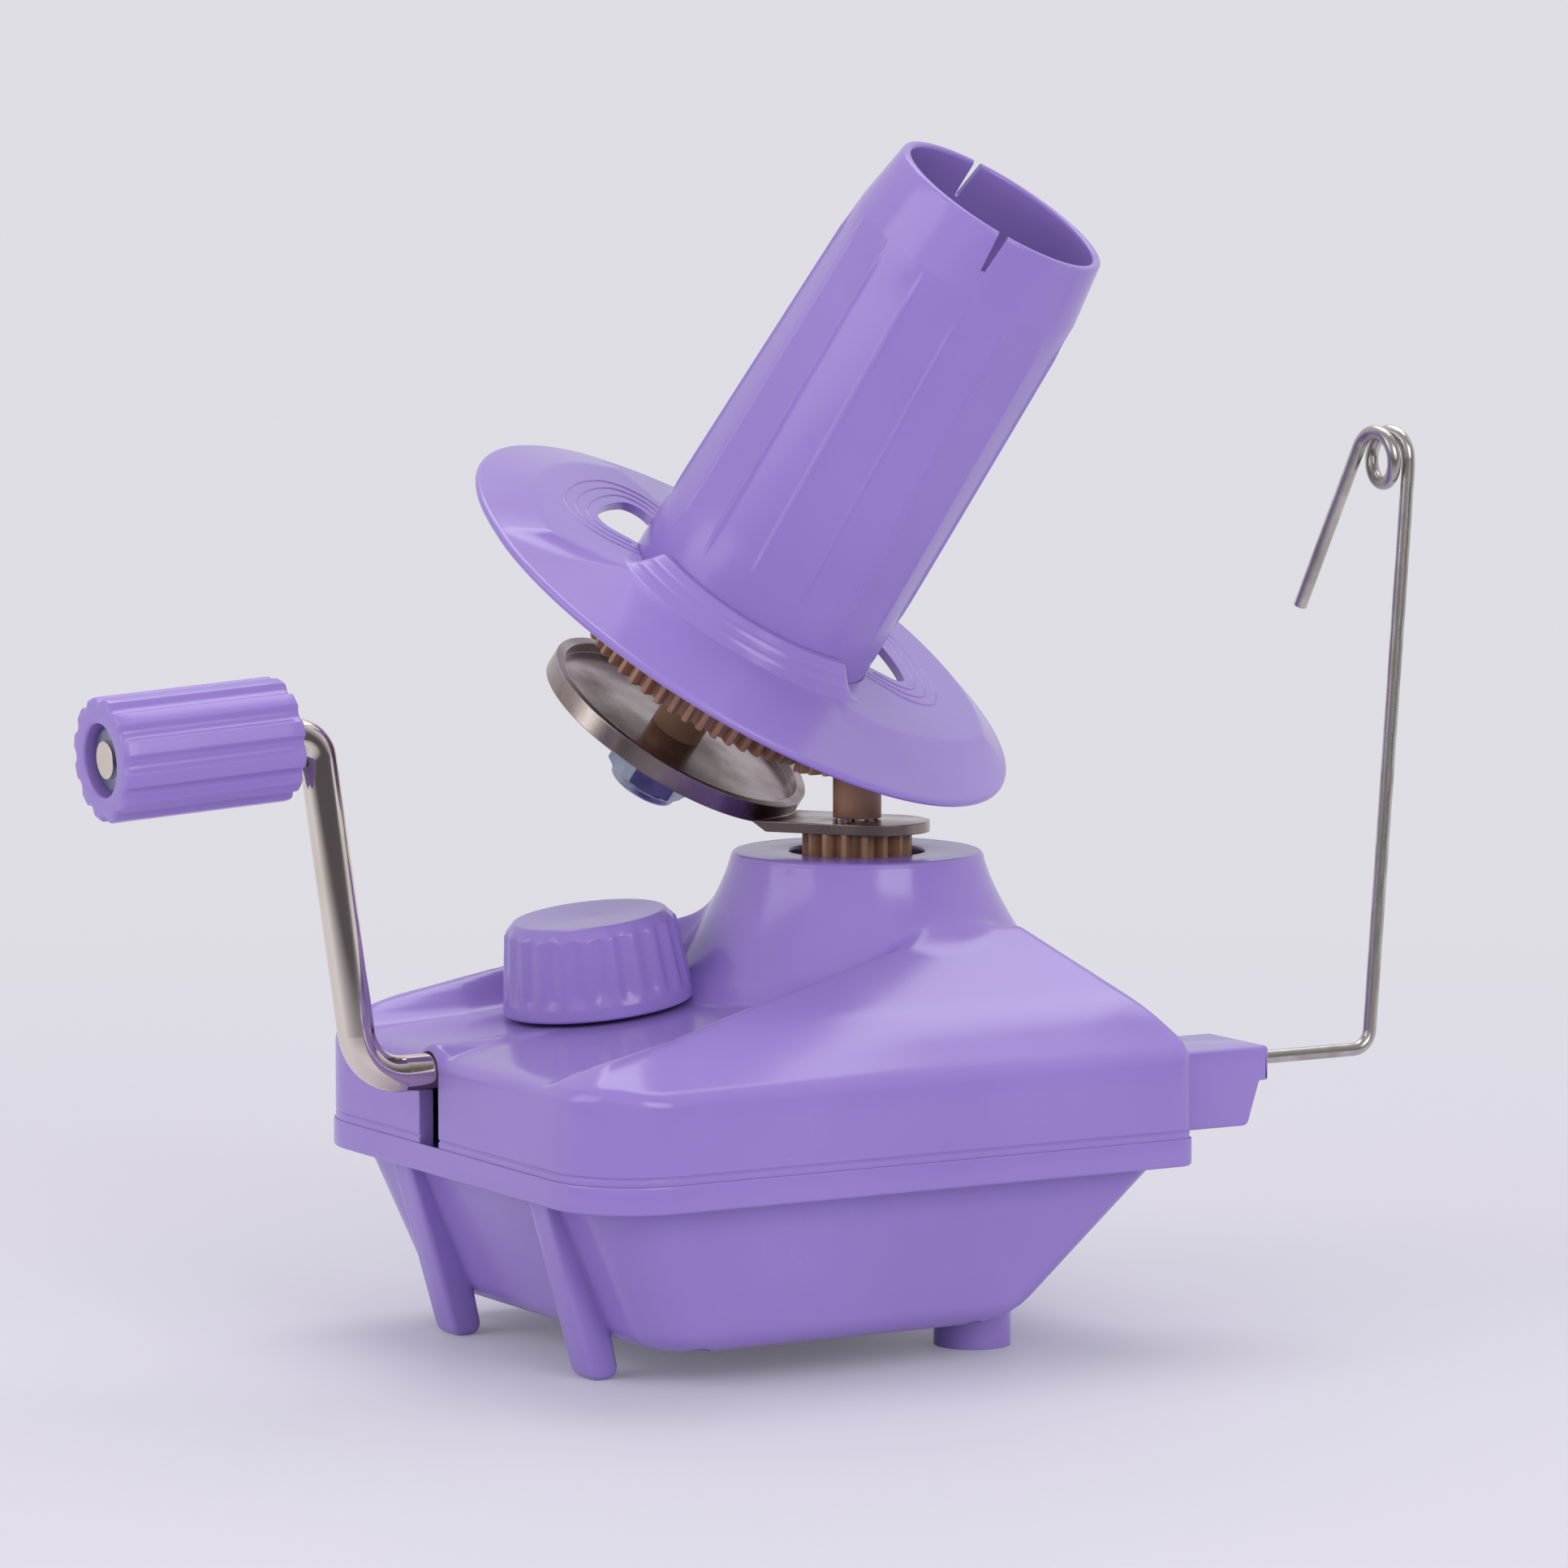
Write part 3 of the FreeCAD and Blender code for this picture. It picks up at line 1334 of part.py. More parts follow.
# Least gap of the eye to itself, measured on points along the wire's line.
line_points = []
travelled = 0
for edge in Part.Wire(wire_edges).OrderedEdges:
    count = max(2, int(edge.Length / 0.5))
    for step in range(count):
        share = (step + 0.5) / count
        spot = edge.valueAt(edge.getParameterByLength(edge.Length * share))
        line_points.append((travelled + edge.Length * share, spot))
    travelled += edge.Length
least = min(
    (one[1] - other[1]).Length
    for index, one in enumerate(line_points)
    for other in line_points[index + 1:]
    if other[0] - one[0] > 4 * size("eye_radius")
)
print(f"yarn guide wire: length {travelled:.1f}, least gap to itself {least - 2 * size('wire_radius'):.2f}")
swept = math.pi * size("wire_radius") ** 2 * travelled
print(f"yarn guide wire: volume {wire_solid.Volume:.1f}, section times length {swept:.1f}")

os.makedirs("parts", exist_ok=True)
for name in nodes:
    piece = doc.getObject(name)
    piece.Shape.exportStep(f"parts/{name}.step")
    print(f"{name}: solids {len(piece.Shape.Solids)}, volume {piece.Shape.Volume:.0f}")
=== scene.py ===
import json
import math
import bmesh
import bpy
from mathutils import Matrix, Vector


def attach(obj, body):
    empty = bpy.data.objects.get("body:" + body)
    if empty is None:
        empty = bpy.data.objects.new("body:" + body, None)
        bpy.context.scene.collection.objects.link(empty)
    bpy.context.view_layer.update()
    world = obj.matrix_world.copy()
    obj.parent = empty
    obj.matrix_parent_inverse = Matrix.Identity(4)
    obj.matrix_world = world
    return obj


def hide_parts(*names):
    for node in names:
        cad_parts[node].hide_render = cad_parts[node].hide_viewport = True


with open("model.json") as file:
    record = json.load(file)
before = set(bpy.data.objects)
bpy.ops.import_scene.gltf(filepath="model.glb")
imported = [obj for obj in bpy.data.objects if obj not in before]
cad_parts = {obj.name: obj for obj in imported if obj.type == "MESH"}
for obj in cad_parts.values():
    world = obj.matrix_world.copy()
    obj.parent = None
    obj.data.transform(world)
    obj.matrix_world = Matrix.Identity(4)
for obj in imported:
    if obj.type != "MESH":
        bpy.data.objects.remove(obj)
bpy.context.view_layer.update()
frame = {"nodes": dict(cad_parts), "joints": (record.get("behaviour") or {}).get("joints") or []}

# Yarn ball winder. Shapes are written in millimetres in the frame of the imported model:
# +X towards the yarn guide, -Y the near side, +Z up, from the spindle axis at table height.
nodes = frame["nodes"]


# Lower tub: one moulding in gloss lavender plastic, open at the top, with two rear legs,
# a low rim, a pillar for the spindle post, two saddles for the crank and four screw columns.
# It is shaped in one mould with draft on its walls and a rounded lower edge.

def plan(rear, front, near, far, rear_round, front_round, height):
    """A rounded rectangle of points at one height, always as many and in the same order."""
    corners = [
        (-rear + rear_round, -near + rear_round, rear_round, 180, 12),
        (front - front_round, -near + front_round, front_round, 270, 6),
        (front - front_round, far - front_round, front_round, 0, 6),
        (-rear + rear_round, far - rear_round, rear_round, 90, 12),
    ]
    sides = [72, 56, 72, 108]
    bends = []
    for x, y, radius, start, steps in corners:
        turns = [math.radians(start + 90 * step / steps) for step in range(steps + 1)]
        bends.append([Vector((x + radius * math.cos(a), y + radius * math.sin(a), height)) for a in turns])
    points = []
    for index, bend in enumerate(bends):
        following = bends[(index + 1) % len(bends)][0]
        points += bend
        points += [bend[-1].lerp(following, step / sides[index]) for step in range(1, sides[index])]
    return points


body_rear = 82.85
body_front = 32.0
body_near = 57.5
body_far = 45.0
rear_round = 14.5
front_round = 3.5
least_round = 0.8


def body_plan(inset, height):
    """The cover's wall in plan, drawn in by an inset."""
    small_round = max(front_round - inset, least_round)
    return plan(body_rear - inset, body_front - inset, body_near - inset, body_far - inset,
                rear_round - inset, small_round, height)


tub_inset = 5.5
tub_front_inset = 3.0
tub_rear_draft = 11.0
tub_front_draft = 28.2
tub_side_draft = 2.0
tub_rear_round = 9.0
tub_front_round = 4.5
tub_floor = 5.7
tub_wall = 2.2
tub_edge = 4.0
rim_low = 30.9
parting = 34.5
rim_high = 35.6
rim_proud = 0.35
seam_gap = 0.02


def tub_plan(drop, inset, height):
    """The tub in plan: drop runs from 0 at the rim to 1 at the floor."""
    return plan(
        body_rear - tub_inset - drop * tub_rear_draft - inset,
        body_front - tub_front_inset - drop * tub_front_draft - inset,
        body_near - tub_inset - drop * tub_side_draft - inset,
        body_far - tub_inset - drop * tub_side_draft - inset,
        tub_rear_round, tub_front_round, height)


def tub_rings(inset, floor):
    """Rings from the flat floor out over the rounded lower edge and up to the rim."""
    bend = (rim_low - floor - tub_edge) / (rim_low - floor)
    steps = 6
    rings = []
    for step in range(steps + 1):
        turn = math.radians(90 - 90 * step / steps)
        away = inset + tub_edge * (1 - math.cos(turn))
        rise = floor + tub_edge * (1 - math.sin(turn))
        rings.append(tub_plan(bend + (1 - bend) * math.sin(turn), away, rise))
    return rings


def finished(name, mesh, crease):
    """A new object from a built mesh, smooth except where it turns by more than the crease."""
    bmesh.ops.recalc_face_normals(mesh, faces=mesh.faces)
    data = bpy.data.meshes.new(name)
    mesh.to_mesh(data)
    mesh.free()
    data.shade_smooth()
    data.set_sharp_from_angle(angle=math.radians(crease))
    piece = bpy.data.objects.new(name, data)
    bpy.context.scene.collection.objects.link(piece)
    return piece


def skinned(name, rings, joined=False, crease=40):
    """A mesh over rings of points: joined meets its first ring, otherwise both ends are filled."""
    mesh = bmesh.new()
    rows = [[mesh.verts.new(point / 1000) for point in ring] for ring in rings]
    pairs = list(zip(rows, rows[1:]))
    if joined:
        pairs.append((rows[-1], rows[0]))
    for low, high in pairs:
        count = max(len(low), len(high))
        for here in range(count):
            there = here + 1
            corners = [low[here % len(low)], low[there % len(low)]]
            corners += [high[there % len(high)], high[here % len(high)]]
            mesh.faces.new(list(dict.fromkeys(corners)))
    if not joined:
        for row in (rows[0], rows[-1]):
            if len(row) > 1:
                mesh.faces.new(row)
    return finished(name, mesh, crease)


def worked(piece, tool, operation, crease=40):
    """Adds another mesh to a piece or cuts it away, and puts the tool away."""
    change = piece.modifiers.new("work", "BOOLEAN")
    change.operation = operation
    change.solver = "EXACT"
    change.object = tool
    graph = bpy.context.evaluated_depsgraph_get()
    made = bpy.data.meshes.new_from_object(piece.evaluated_get(graph))
    piece.modifiers.clear()
    old = piece.data
    piece.data = made
    made.name = piece.name
    bpy.data.meshes.remove(old)
    bpy.data.objects.remove(tool)
    made.shade_smooth()
    made.set_sharp_from_angle(angle=math.radians(crease))


def joined_on(piece, tool):
    worked(piece, tool, "UNION")


def cut_from(piece, tool):
    worked(piece, tool, "DIFFERENCE")


def laid_on(piece, part):
    """Adds a thin closed part that is half sunk in a piece, and puts the part away."""
    mesh = bmesh.new()
    mesh.from_mesh(piece.data)
    mesh.from_mesh(part.data)
    mesh.to_mesh(piece.data)
    mesh.free()
    bpy.data.objects.remove(part)


def round_bar(radius, start, end, count=40):
    """A round bar between two points, as a tool or a boss."""
    place = Matrix.Translation(start) @ (end - start).to_track_quat("Z", "X").to_matrix().to_4x4()
    length = (end - start).length
    turns = [2 * math.pi * step / count for step in range(count)]
    rings = [
        [place @ Vector((radius * math.cos(a), radius * math.sin(a), height)) for a in turns]
        for height in (0, length)
    ]
    return skinned("bar", rings)


def upright_bar(radius, x, y, low, high):
    """An upright round bar between two heights."""
    return round_bar(radius, Vector((x, y, low)), Vector((x, y, high)))


def softened(corners, steps=4, closed=True):
    """Corners of across, up and rounding as points of an outline, each rounded by an arc."""
    points = []
    count = len(corners)
    for index, (across, up, radius) in enumerate(corners):
        spot = Vector((across, up))
        if not radius or (not closed and index in (0, count - 1)):
            points.append(spot)
            continue
        before = Vector(corners[index - 1][:2])
        after = Vector(corners[(index + 1) % count][:2])
        toward = (before - spot).normalized()
        onward = (after - spot).normalized()
        half = toward.angle(onward) / 2
        reach = radius / math.tan(half)
        centre = spot + (toward + onward).normalized() * radius / math.sin(half)
        start = spot + toward * reach - centre
        end = spot + onward * reach - centre
        for step in range(steps + 1):
            points.append(centre + start.slerp(end, step / steps).normalized() * radius)
    return points


quarter_turn = [math.radians(30 * step) for step in range(4)]


def drawn_in(outline, amount):
    """A closed outline moved inwards by an amount, each point along its own bisector."""
    area = sum(a.cross(b) for a, b in zip(outline, outline[1:] + outline[:1]))
    side = 1 if area > 0 else -1
    moved = []
    for index, spot in enumerate(outline):
        before = (spot - outline[index - 1]).normalized()
        after = (outline[(index + 1) % len(outline)] - spot).normalized()
        inward = Vector((-before.y - after.y, before.x + after.x)).normalized() * side
        stretch = max(inward.dot(Vector((-before.y, before.x)) * side), 0.5)
        moved.append(spot + inward * amount / stretch)
    return moved


def slab(name, outline, lift, thickness, bevel):
    """A flat outline made thick, with rounded edges; lift places a point at a depth."""
    layers = [(turn, bevel * (1 - math.cos(turn))) for turn in quarter_turn]
    layers += [(turn, thickness - bevel * (1 - math.cos(turn))) for turn in reversed(quarter_turn)]
    rings = []
    for turn, depth in layers:
        ring = drawn_in(outline, bevel * (1 - math.sin(turn)))
        rings.append([lift(spot, depth) for spot in ring])
    return skinned(name, rings)


rim_edge = 0.45
rim_top_edge = 0.3
rim_gap = 0.06
rim_hollow = [(0.02, 0, 0.5), (0, -0.15, 0.12), (0, -0.6, 0)]
outer = tub_rings(0, tub_floor)
for drop, inset, below in rim_hollow:
    outer.append(tub_plan(drop, inset, rim_low - below))
for turn in quarter_turn:
    outer.append(body_plan(rim_edge * (1 - math.sin(turn)) - rim_proud,
                           rim_low + rim_edge * (1 - math.cos(turn))))
for turn in quarter_turn:
    outer.append(body_plan(rim_top_edge * (1 - math.cos(turn)) - rim_proud,
                           rim_high - rim_top_edge * (1 - math.sin(turn))))
outer.append(body_plan(-rim_gap, rim_high))
outer.append(body_plan(-rim_gap, parting - seam_gap))
inner = tub_rings(tub_wall, tub_floor + tub_wall)
inner.append(tub_plan(0, tub_wall, parting - seam_gap))
lower_tub = skinned("tub_moulding", outer + inner[::-1])

leg_width = 7.0
leg_edge = 1.0
leg_top = rim_low + 0.2
leg_toe = 2.0
leg_spots = [-30.0, 17.6]
leg_side = softened([
    (-79.4, leg_top, 0),
    (-70.5, 0, leg_toe),
    (-65.0, 0, leg_toe),
    (-71.8, leg_top, 0),
], steps=8)
for y in leg_spots:
    leg = slab("leg", leg_side, lambda spot, depth: Vector((spot.x, y - leg_width / 2 + depth, spot.y)),
               leg_width, leg_edge)
    joined_on(lower_tub, leg)

rod_height = 48.0
screw_spots = [(x, y) for x in (-6.0, -58.0) for y in (-46.5, 34.0)]
column_radius = 5.0
pillar_radius = 5.8
pillar_top = 60.0
sunk = 0.8
above_all = parting + 40


def built_in(piece):
    """Trims a column or saddle to the tub's hollow, sunk in its walls, and joins it on."""
    walls = skinned("walls", tub_rings(sunk, tub_floor + sunk) + [tub_plan(0, sunk, above_all)])
    worked(piece, walls, "INTERSECT")
    joined_on(lower_tub, piece)


for x, y in screw_spots:
    built_in(upright_bar(column_radius, x, y, 0, parting - seam_gap))
built_in(upright_bar(pillar_radius, 0, 0, 0, pillar_top))
saddle_half = 8.0
saddle_foot = 1.0
saddle_thickness = 3.0
saddle_edge = 0.2
saddle = softened([
    (-saddle_half, saddle_foot, 0),
    (saddle_half, saddle_foot, 0),
    (saddle_half, rod_height, 0),
    (-saddle_half, rod_height, 0),
])
for x in (-71.5, -31.5):
    built_in(slab("saddle", saddle, lambda spot, depth: Vector((x + depth, spot.x, spot.y)),
                  saddle_thickness, saddle_edge))
rod_way_radius = 4.1
rod_way = round_bar(rod_way_radius, Vector((-76, 0, rod_height)), Vector((-20, 0, rod_height)))
cut_from(lower_tub, rod_way)

# Ways for the screws, each a narrow mouth, a well for the head and a way for the shank.
under = tub_floor - 2
screw_way = [(2.0, under, 10.0), (3.0, 9.0, 27.0), (1.55, 26.0, parting + 1)]
post_way = [(3.3, under, 9.7), (3.0, 9.0, pillar_top + 1)]
for x, y in screw_spots:
    for radius, low, high in screw_way:
        cut_from(lower_tub, upright_bar(radius, x, y, low, high))
for radius, low, high in post_way:
    cut_from(lower_tub, upright_bar(radius, 0, 0, low, high))


def joint_line(name):
    """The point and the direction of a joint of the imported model."""
    joint = [joint for joint in frame["joints"] if joint["name"] == name][0]
    return Vector(joint["pos_m"]) * 1000, Vector(joint["axis"])


knob_spot, knob_axis = joint_line("clamp_knob_spin")
clamp_way_radius = 5.2


def clamp_way(low, high):
    """The way of a clamp screw, between two distances along the knob's axis."""
    return round_bar(clamp_way_radius, knob_spot + knob_axis * low, knob_spot + knob_axis * high)


cut_from(lower_tub, clamp_way(-60, -30))


def put(tree, socket, value):
    """Gives a socket a value, or a link when the value is another socket."""
    if isinstance(value, bpy.types.NodeSocket):
        tree.links.new(value, socket)
    else:
        socket.default_value = value


def add(tree, kind, settings=None, **values):
    """A shader node with its settings and the values or links of its inputs."""
    made = tree.nodes.new("ShaderNode" + kind)
    for label, choice in (settings or {}).items():
        setattr(made, label, choice)
    for label, value in values.items():
        put(tree, made.inputs[label.replace("_", " ")], value)
    return made


def maths(tree, operation, *values):
    """A Math node's result."""
    made = add(tree, "Math", {"operation": operation})
    for index, value in enumerate(values):
        put(tree, made.inputs[index], value)
    return made.outputs[0]


def spread(tree, value, low, high, start=0.0, end=1.0):
    """A value between two limits, from 0 to 1, spread over another range."""
    made = add(tree, "MapRange", Value=value, From_Min=start, From_Max=end, To_Min=low, To_Max=high)
    return made.outputs["Result"]


def mixed(tree, share, first, second):
    """Two colours mixed by a share, on the sockets that a Mix node keeps for colours."""
    made = add(tree, "Mix", {"data_type": "RGBA"})
    put(tree, made.inputs[0], share)
    put(tree, made.inputs[6], first)
    put(tree, made.inputs[7], second)
    return made.outputs[2]


def facing(tree, direction, toward):
    """How far a direction points along another, from -1 to 1."""
    made = add(tree, "VectorMath", {"operation": "DOT_PRODUCT"})
    put(tree, made.inputs[0], direction)
    put(tree, made.inputs[1], toward)
    return made.outputs["Value"]


def cloud(tree, place, grain, detail=2.0, roughness=0.5):
    """Soft noise with a grain of so many millimetres, from 0 to 1."""
    made = add(tree, "TexNoise", Vector=place, Detail=detail, Roughness=roughness)
    put(tree, made.inputs["Scale"], maths(tree, "DIVIDE", 1000.0, grain))
    return made.outputs["Fac"]


def new_group(name, inputs, outputs):
    """A shader node group with named inputs and outputs, and its two end nodes."""
    group = bpy.data.node_groups.new(name, "ShaderNodeTree")
    for label, start in inputs.items():
        kind = "NodeSocketVector" if start is None else "NodeSocketFloat"
        socket = group.interface.new_socket(label, in_out="INPUT", socket_type=kind)
        if start is not None:
            socket.default_value = start
    for label, kind in outputs.items():
        group.interface.new_socket(label, in_out="OUTPUT", socket_type="NodeSocket" + kind)
    return group, group.nodes.new("NodeGroupInput"), group.nodes.new("NodeGroupOutput")


def place_group(tree, group, **values):
    """A group placed in a material with its own values."""
    made = tree.nodes.new("ShaderNodeGroup")
    made.node_tree = group
    for label, value in values.items():
        put(tree, made.inputs[label.replace("_", " ")], value)
    return made.outputs


scratch_turn = (0.4, 0.7, 0.3)
scratch_stretch = (1.0, 9.0, 1.4)
scratch_width = 0.012


def surface_grain():
    """Blotches, fine grain and thin scratches of a handled surface."""
    start = {"Blotch": 14.0, "Grain": 0.6, "Scratch": 3.0}
    ends = {"Blotches": "Float", "Grains": "Float", "Scratches": "Float"}
    group, source, result = new_group("surface_grain", start, ends)
    place = add(group, "TexCoord").outputs["Object"]
    put(group, result.inputs["Blotches"], cloud(group, place, source.outputs["Blotch"], 3.0))
    put(group, result.inputs["Grains"], cloud(group, place, source.outputs["Grain"], 2.0))
    bent = add(group, "Mapping", Vector=place, Rotation=scratch_turn, Scale=scratch_stretch)
    lines = cloud(group, bent.outputs[0], source.outputs["Scratch"], 1.0, 0.5)
    away = maths(group, "ABSOLUTE", maths(group, "SUBTRACT", lines, 0.5))
    put(group, result.inputs["Scratches"], spread(group, away, 1.0, 0.0, 0.0, scratch_width))
    return group


patch_size = 3.0
edge_gain = 6.0


def edge_wear_and_highlight():
    """A mask of the edges of a piece, for worn edges and painted edge highlights, and its normal with those
    edges softened.
    """
    group, source, result = new_group("edge_wear_and_highlight", {"Width": 0.4, "Spread": 1.0},
                                      {"Edge": "Float", "Soft Normal": "Vector"})
    width = maths(group, "DIVIDE", source.outputs["Width"], 1000.0)
    bevel = add(group, "Bevel", {"samples": 6}, Radius=width)
    true = add(group, "NewGeometry").outputs["Normal"]
    bend = maths(group, "SUBTRACT", 1.0, facing(group, bevel.outputs["Normal"], true))
    place = add(group, "TexCoord").outputs["Object"]
    patchy = spread(group, cloud(group, place, patch_size, 3.0), 0.3, 1.0, 0.35, 0.65)
    # The edge mask lightens edges in the materials: partly wear, partly a painted edge highlight.
    edge = maths(group, "MULTIPLY", maths(group, "MULTIPLY", bend, edge_gain), patchy)
    edge = maths(group, "MULTIPLY", edge, source.outputs["Spread"])
    put(group, result.inputs["Edge"], maths(group, "MINIMUM", edge, 1.0))
    put(group, result.inputs["Soft Normal"], bevel.outputs["Normal"])
    return group


grain_group = surface_grain()
edge_group = edge_wear_and_highlight()


def new_material(name):
    """A material with one shader, and its node tree."""
    made = bpy.data.materials.new(name)
    made.use_nodes = True
    return made, made.node_tree, made.node_tree.nodes["Principled BSDF"]


def grained(name, blotch, grain, scratch, edge_width, wear_and_highlight=1.0):
    """A new material with the grain of its surface and its edges lightened, partly as wear and partly as
    painted highlight.
    """
    made, tree, shader = new_material(name)
    grains = place_group(tree, grain_group, Blotch=blotch, Grain=grain, Scratch=scratch)
    edge = place_group(tree, edge_group, Width=edge_width, Spread=wear_and_highlight)
    return made, tree, shader, grains, edge


def bumped(tree, shader, height, distance, strength, normal):
    """Feeds a height in millimetres into a shader's normal, over another normal."""
    bump = add(tree, "Bump", Height=height, Distance=distance / 1000, Strength=strength, Normal=normal)
    put(tree, shader.inputs["Normal"], bump.outputs["Normal"])


def blotched(tree, grain, first, second, low, high):
    """Two colours mixed by the blotches, between two of their levels."""
    return mixed(tree, spread(tree, grain["Blotches"], 0.0, 1.0, low, high), first, second)


def polished(tree, shader, grain, smooth, rough, low, high, scratched):
    """Roughness that drifts with the blotches, between two of their levels, and rises on scratches."""
    sheen = spread(tree, grain["Blotches"], smooth, rough, low, high)
    sheen = maths(tree, "ADD", sheen, maths(tree, "MULTIPLY", grain["Scratches"], scratched))
    put(tree, shader.inputs["Roughness"], sheen)


def moulded_plastic(name, colour, lighter, gloss, matte, edge_width):
    """Gloss moulded plastic: even colour, faint flow clouding, edges lightened as rubbed wear and as
    painted highlight, and hairline scuffs.
    """
    made, tree, shader, grain, edge = grained(name, blotch=30.0, grain=1.6, scratch=9.0,
                                              edge_width=edge_width, wear_and_highlight=0.7)
    clouded = blotched(tree, grain, colour, lighter, low=0.3, high=0.7)
    # Edges lightened towards a pale lavender: partly rubbed wear, partly a painted edge highlight.
    rubbed_and_lit = maths(tree, "MULTIPLY", edge["Edge"], 0.18)
    put(tree, shader.inputs["Base Color"], mixed(tree, rubbed_and_lit, clouded, rubbed_and_lit_lavender))
    polished(tree, shader, grain, gloss, matte, low=0.3, high=0.7, scratched=0.05)
    bumped(tree, shader, grain["Grains"], distance=0.004, strength=0.7, normal=edge["Soft Normal"])
    shader.inputs["Subsurface Weight"].default_value = 0.06
    shader.inputs["Subsurface Radius"].default_value = (0.6, 0.45, 1.0)
    shader.inputs["Subsurface Scale"].default_value = 0.0015
    return made


lavender = (0.30, 0.205, 0.575, 1)
pale_lavender = (0.325, 0.226, 0.61, 1)
# The pale colour of the lightened edges, partly wear and partly a painted highlight.
rubbed_and_lit_lavender = (0.60, 0.51, 0.82, 1)
lavender_plastic = moulded_plastic("lavender_plastic", lavender, pale_lavender, 0.17, 0.23, 0.35)


def dressed(piece, material, slot, body, *replaced):
    """Gives a piece its material and its body, and hides the parts it stands for. The slot is not used."""
    piece.data.materials.clear()
    piece.data.materials.append(material)
    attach(piece, body)
    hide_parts(*replaced)


def coated(material, *names):
    """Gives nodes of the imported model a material."""
    for name in names:
        data = nodes[name].data
        data.materials.clear()
        data.materials.append(material)


dressed(lower_tub, lavender_plastic, "lavender_plastic", "housing", "lower_tub")


# Front feet: two round discs of the same plastic, pegged into the tub's underside.
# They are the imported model's own shapes with the moulding's surface.
coated(lavender_plastic, "front_feet")


# Cover screws, the post's two screws and the ring gear's three: plain plated steel.
# All are driven up from below, except the one in the top of the post.
# Pale metal for the brightened edges: partly wear, partly a painted edge highlight.
bright_metal = (0.85, 0.84, 0.82, 1)


def plain_steel(name, colour, darker, smooth, rough, edge_width, grain_size):
    """Plated or drawn metal: streaky tone, uneven polish and bright edges, partly worn and partly a painted
    highlight.
    """
    made, tree, shader, grain, edge = grained(name, blotch=grain_size, grain=0.25, scratch=1.2,
                                              edge_width=edge_width)
    tone = blotched(tree, grain, colour, darker, low=0.35, high=0.65)
    # Edges brightened towards pale metal: partly wear, partly a painted edge highlight.
    bright = maths(tree, "MULTIPLY", edge["Edge"], 0.5)
    put(tree, shader.inputs["Base Color"], mixed(tree, bright, tone, bright_metal))
    shader.inputs["Metallic"].default_value = 1.0
    polished(tree, shader, grain, smooth, rough, low=0.35, high=0.65, scratched=0.12)
    bumped(tree, shader, grain["Grains"], distance=0.006, strength=0.8, normal=edge["Soft Normal"])
    return made


screw_steel = plain_steel("screw_steel", (0.42, 0.41, 0.40, 1), (0.30, 0.29, 0.28, 1),
                          smooth=0.28, rough=0.42, edge_width=0.2, grain_size=5.0)
coated(screw_steel, "cover_screws", "post_screw", "post_base_screw", "ring_gear_screws")


# Spindle post: bright plated steel bar, pressed into the tub's pillar and screwed from below.
# The crank rod, its collar and its cross pin have the same warm plating.
nickel = (0.80, 0.74, 0.65, 1)
tarnished_nickel = (0.70, 0.62, 0.52, 1)


def plated_rod(name):
    """Warm nickel plate on a drawn bar: nearly a mirror, with a few dull and tarnished patches."""
    made, tree, shader, grain, edge = grained(name, blotch=22.0, grain=0.3, scratch=1.6, edge_width=0.25)
    tone = blotched(tree, grain, nickel, tarnished_nickel, low=0.4, high=0.75)
    put(tree, shader.inputs["Base Color"], tone)
    shader.inputs["Metallic"].default_value = 1.0
    polished(tree, shader, grain, smooth=0.07, rough=0.13, low=0.35, high=0.7, scratched=0.08)
    bumped(tree, shader, grain["Grains"], distance=0.002, strength=0.5, normal=edge["Soft Normal"])
    return made


polished_nickel = plated_rod("polished_nickel")
coated(polished_nickel, "centre_post", "crank_rod", "crank_collar", "crown_gear_pin")


# Crank bushes: oiled sintered bronze, held in the tub's two saddles.
# The crank rod turns in both, and its collar runs against the front one.
bronze = plain_steel("bronze", (0.55, 0.36, 0.17, 1), (0.40, 0.25, 0.11, 1),
                     smooth=0.34, rough=0.5, edge_width=0.2, grain_size=2.0)
coated(bronze, "crank_bush_rear", "crank_bush_front")


# Gears, thrust washer and spacer: brown nylon, moulded, with a satin finish.
# The spindle pinion's teeth show above the cover's boss.
nylon = (0.33, 0.175, 0.10, 1)
pale_nylon = (0.41, 0.225, 0.135, 1)
# The pale brown of the lightened edges, partly rubbed wear and partly a painted highlight.
rubbed_and_lit_nylon = (0.58, 0.38, 0.26, 1)


def brown_gear_nylon(name):
    """Brown nylon with faint cloudy colour, edges lightened as wear and as painted highlight, and satin
    faces.
    """
    made, tree, shader, grain, edge = grained(name, blotch=7.0, grain=0.35, scratch=1.5, edge_width=0.3)
    tone = blotched(tree, grain, nylon, pale_nylon, low=0.35, high=0.65)
    # Edges lightened towards a pale brown: partly rubbed wear, partly a painted edge highlight.
    rubbed_and_lit = maths(tree, "MULTIPLY", edge["Edge"], 0.4)
    put(tree, shader.inputs["Base Color"], mixed(tree, rubbed_and_lit, tone, rubbed_and_lit_nylon))
    put(tree, shader.inputs["Roughness"], spread(tree, grain["Grains"], 0.34, 0.50, 0.3, 0.7))
    bumped(tree, shader, grain["Grains"], distance=0.015, strength=0.8, normal=edge["Soft Normal"])
    return made


brown_nylon = brown_gear_nylon("brown_nylon")
coated(brown_nylon, "spindle_pinion", "post_pinion", "crown_gear", "thrust_washer", "axle_spacer")


# Upper cover: one moulding of the same lavender plastic, screwed down on the tub's rim.
# A hip roof rises to a flared neck for the spindle, a recess behind it holds the clamp knob,
# and a block at the near front corner holds the yarn guide.

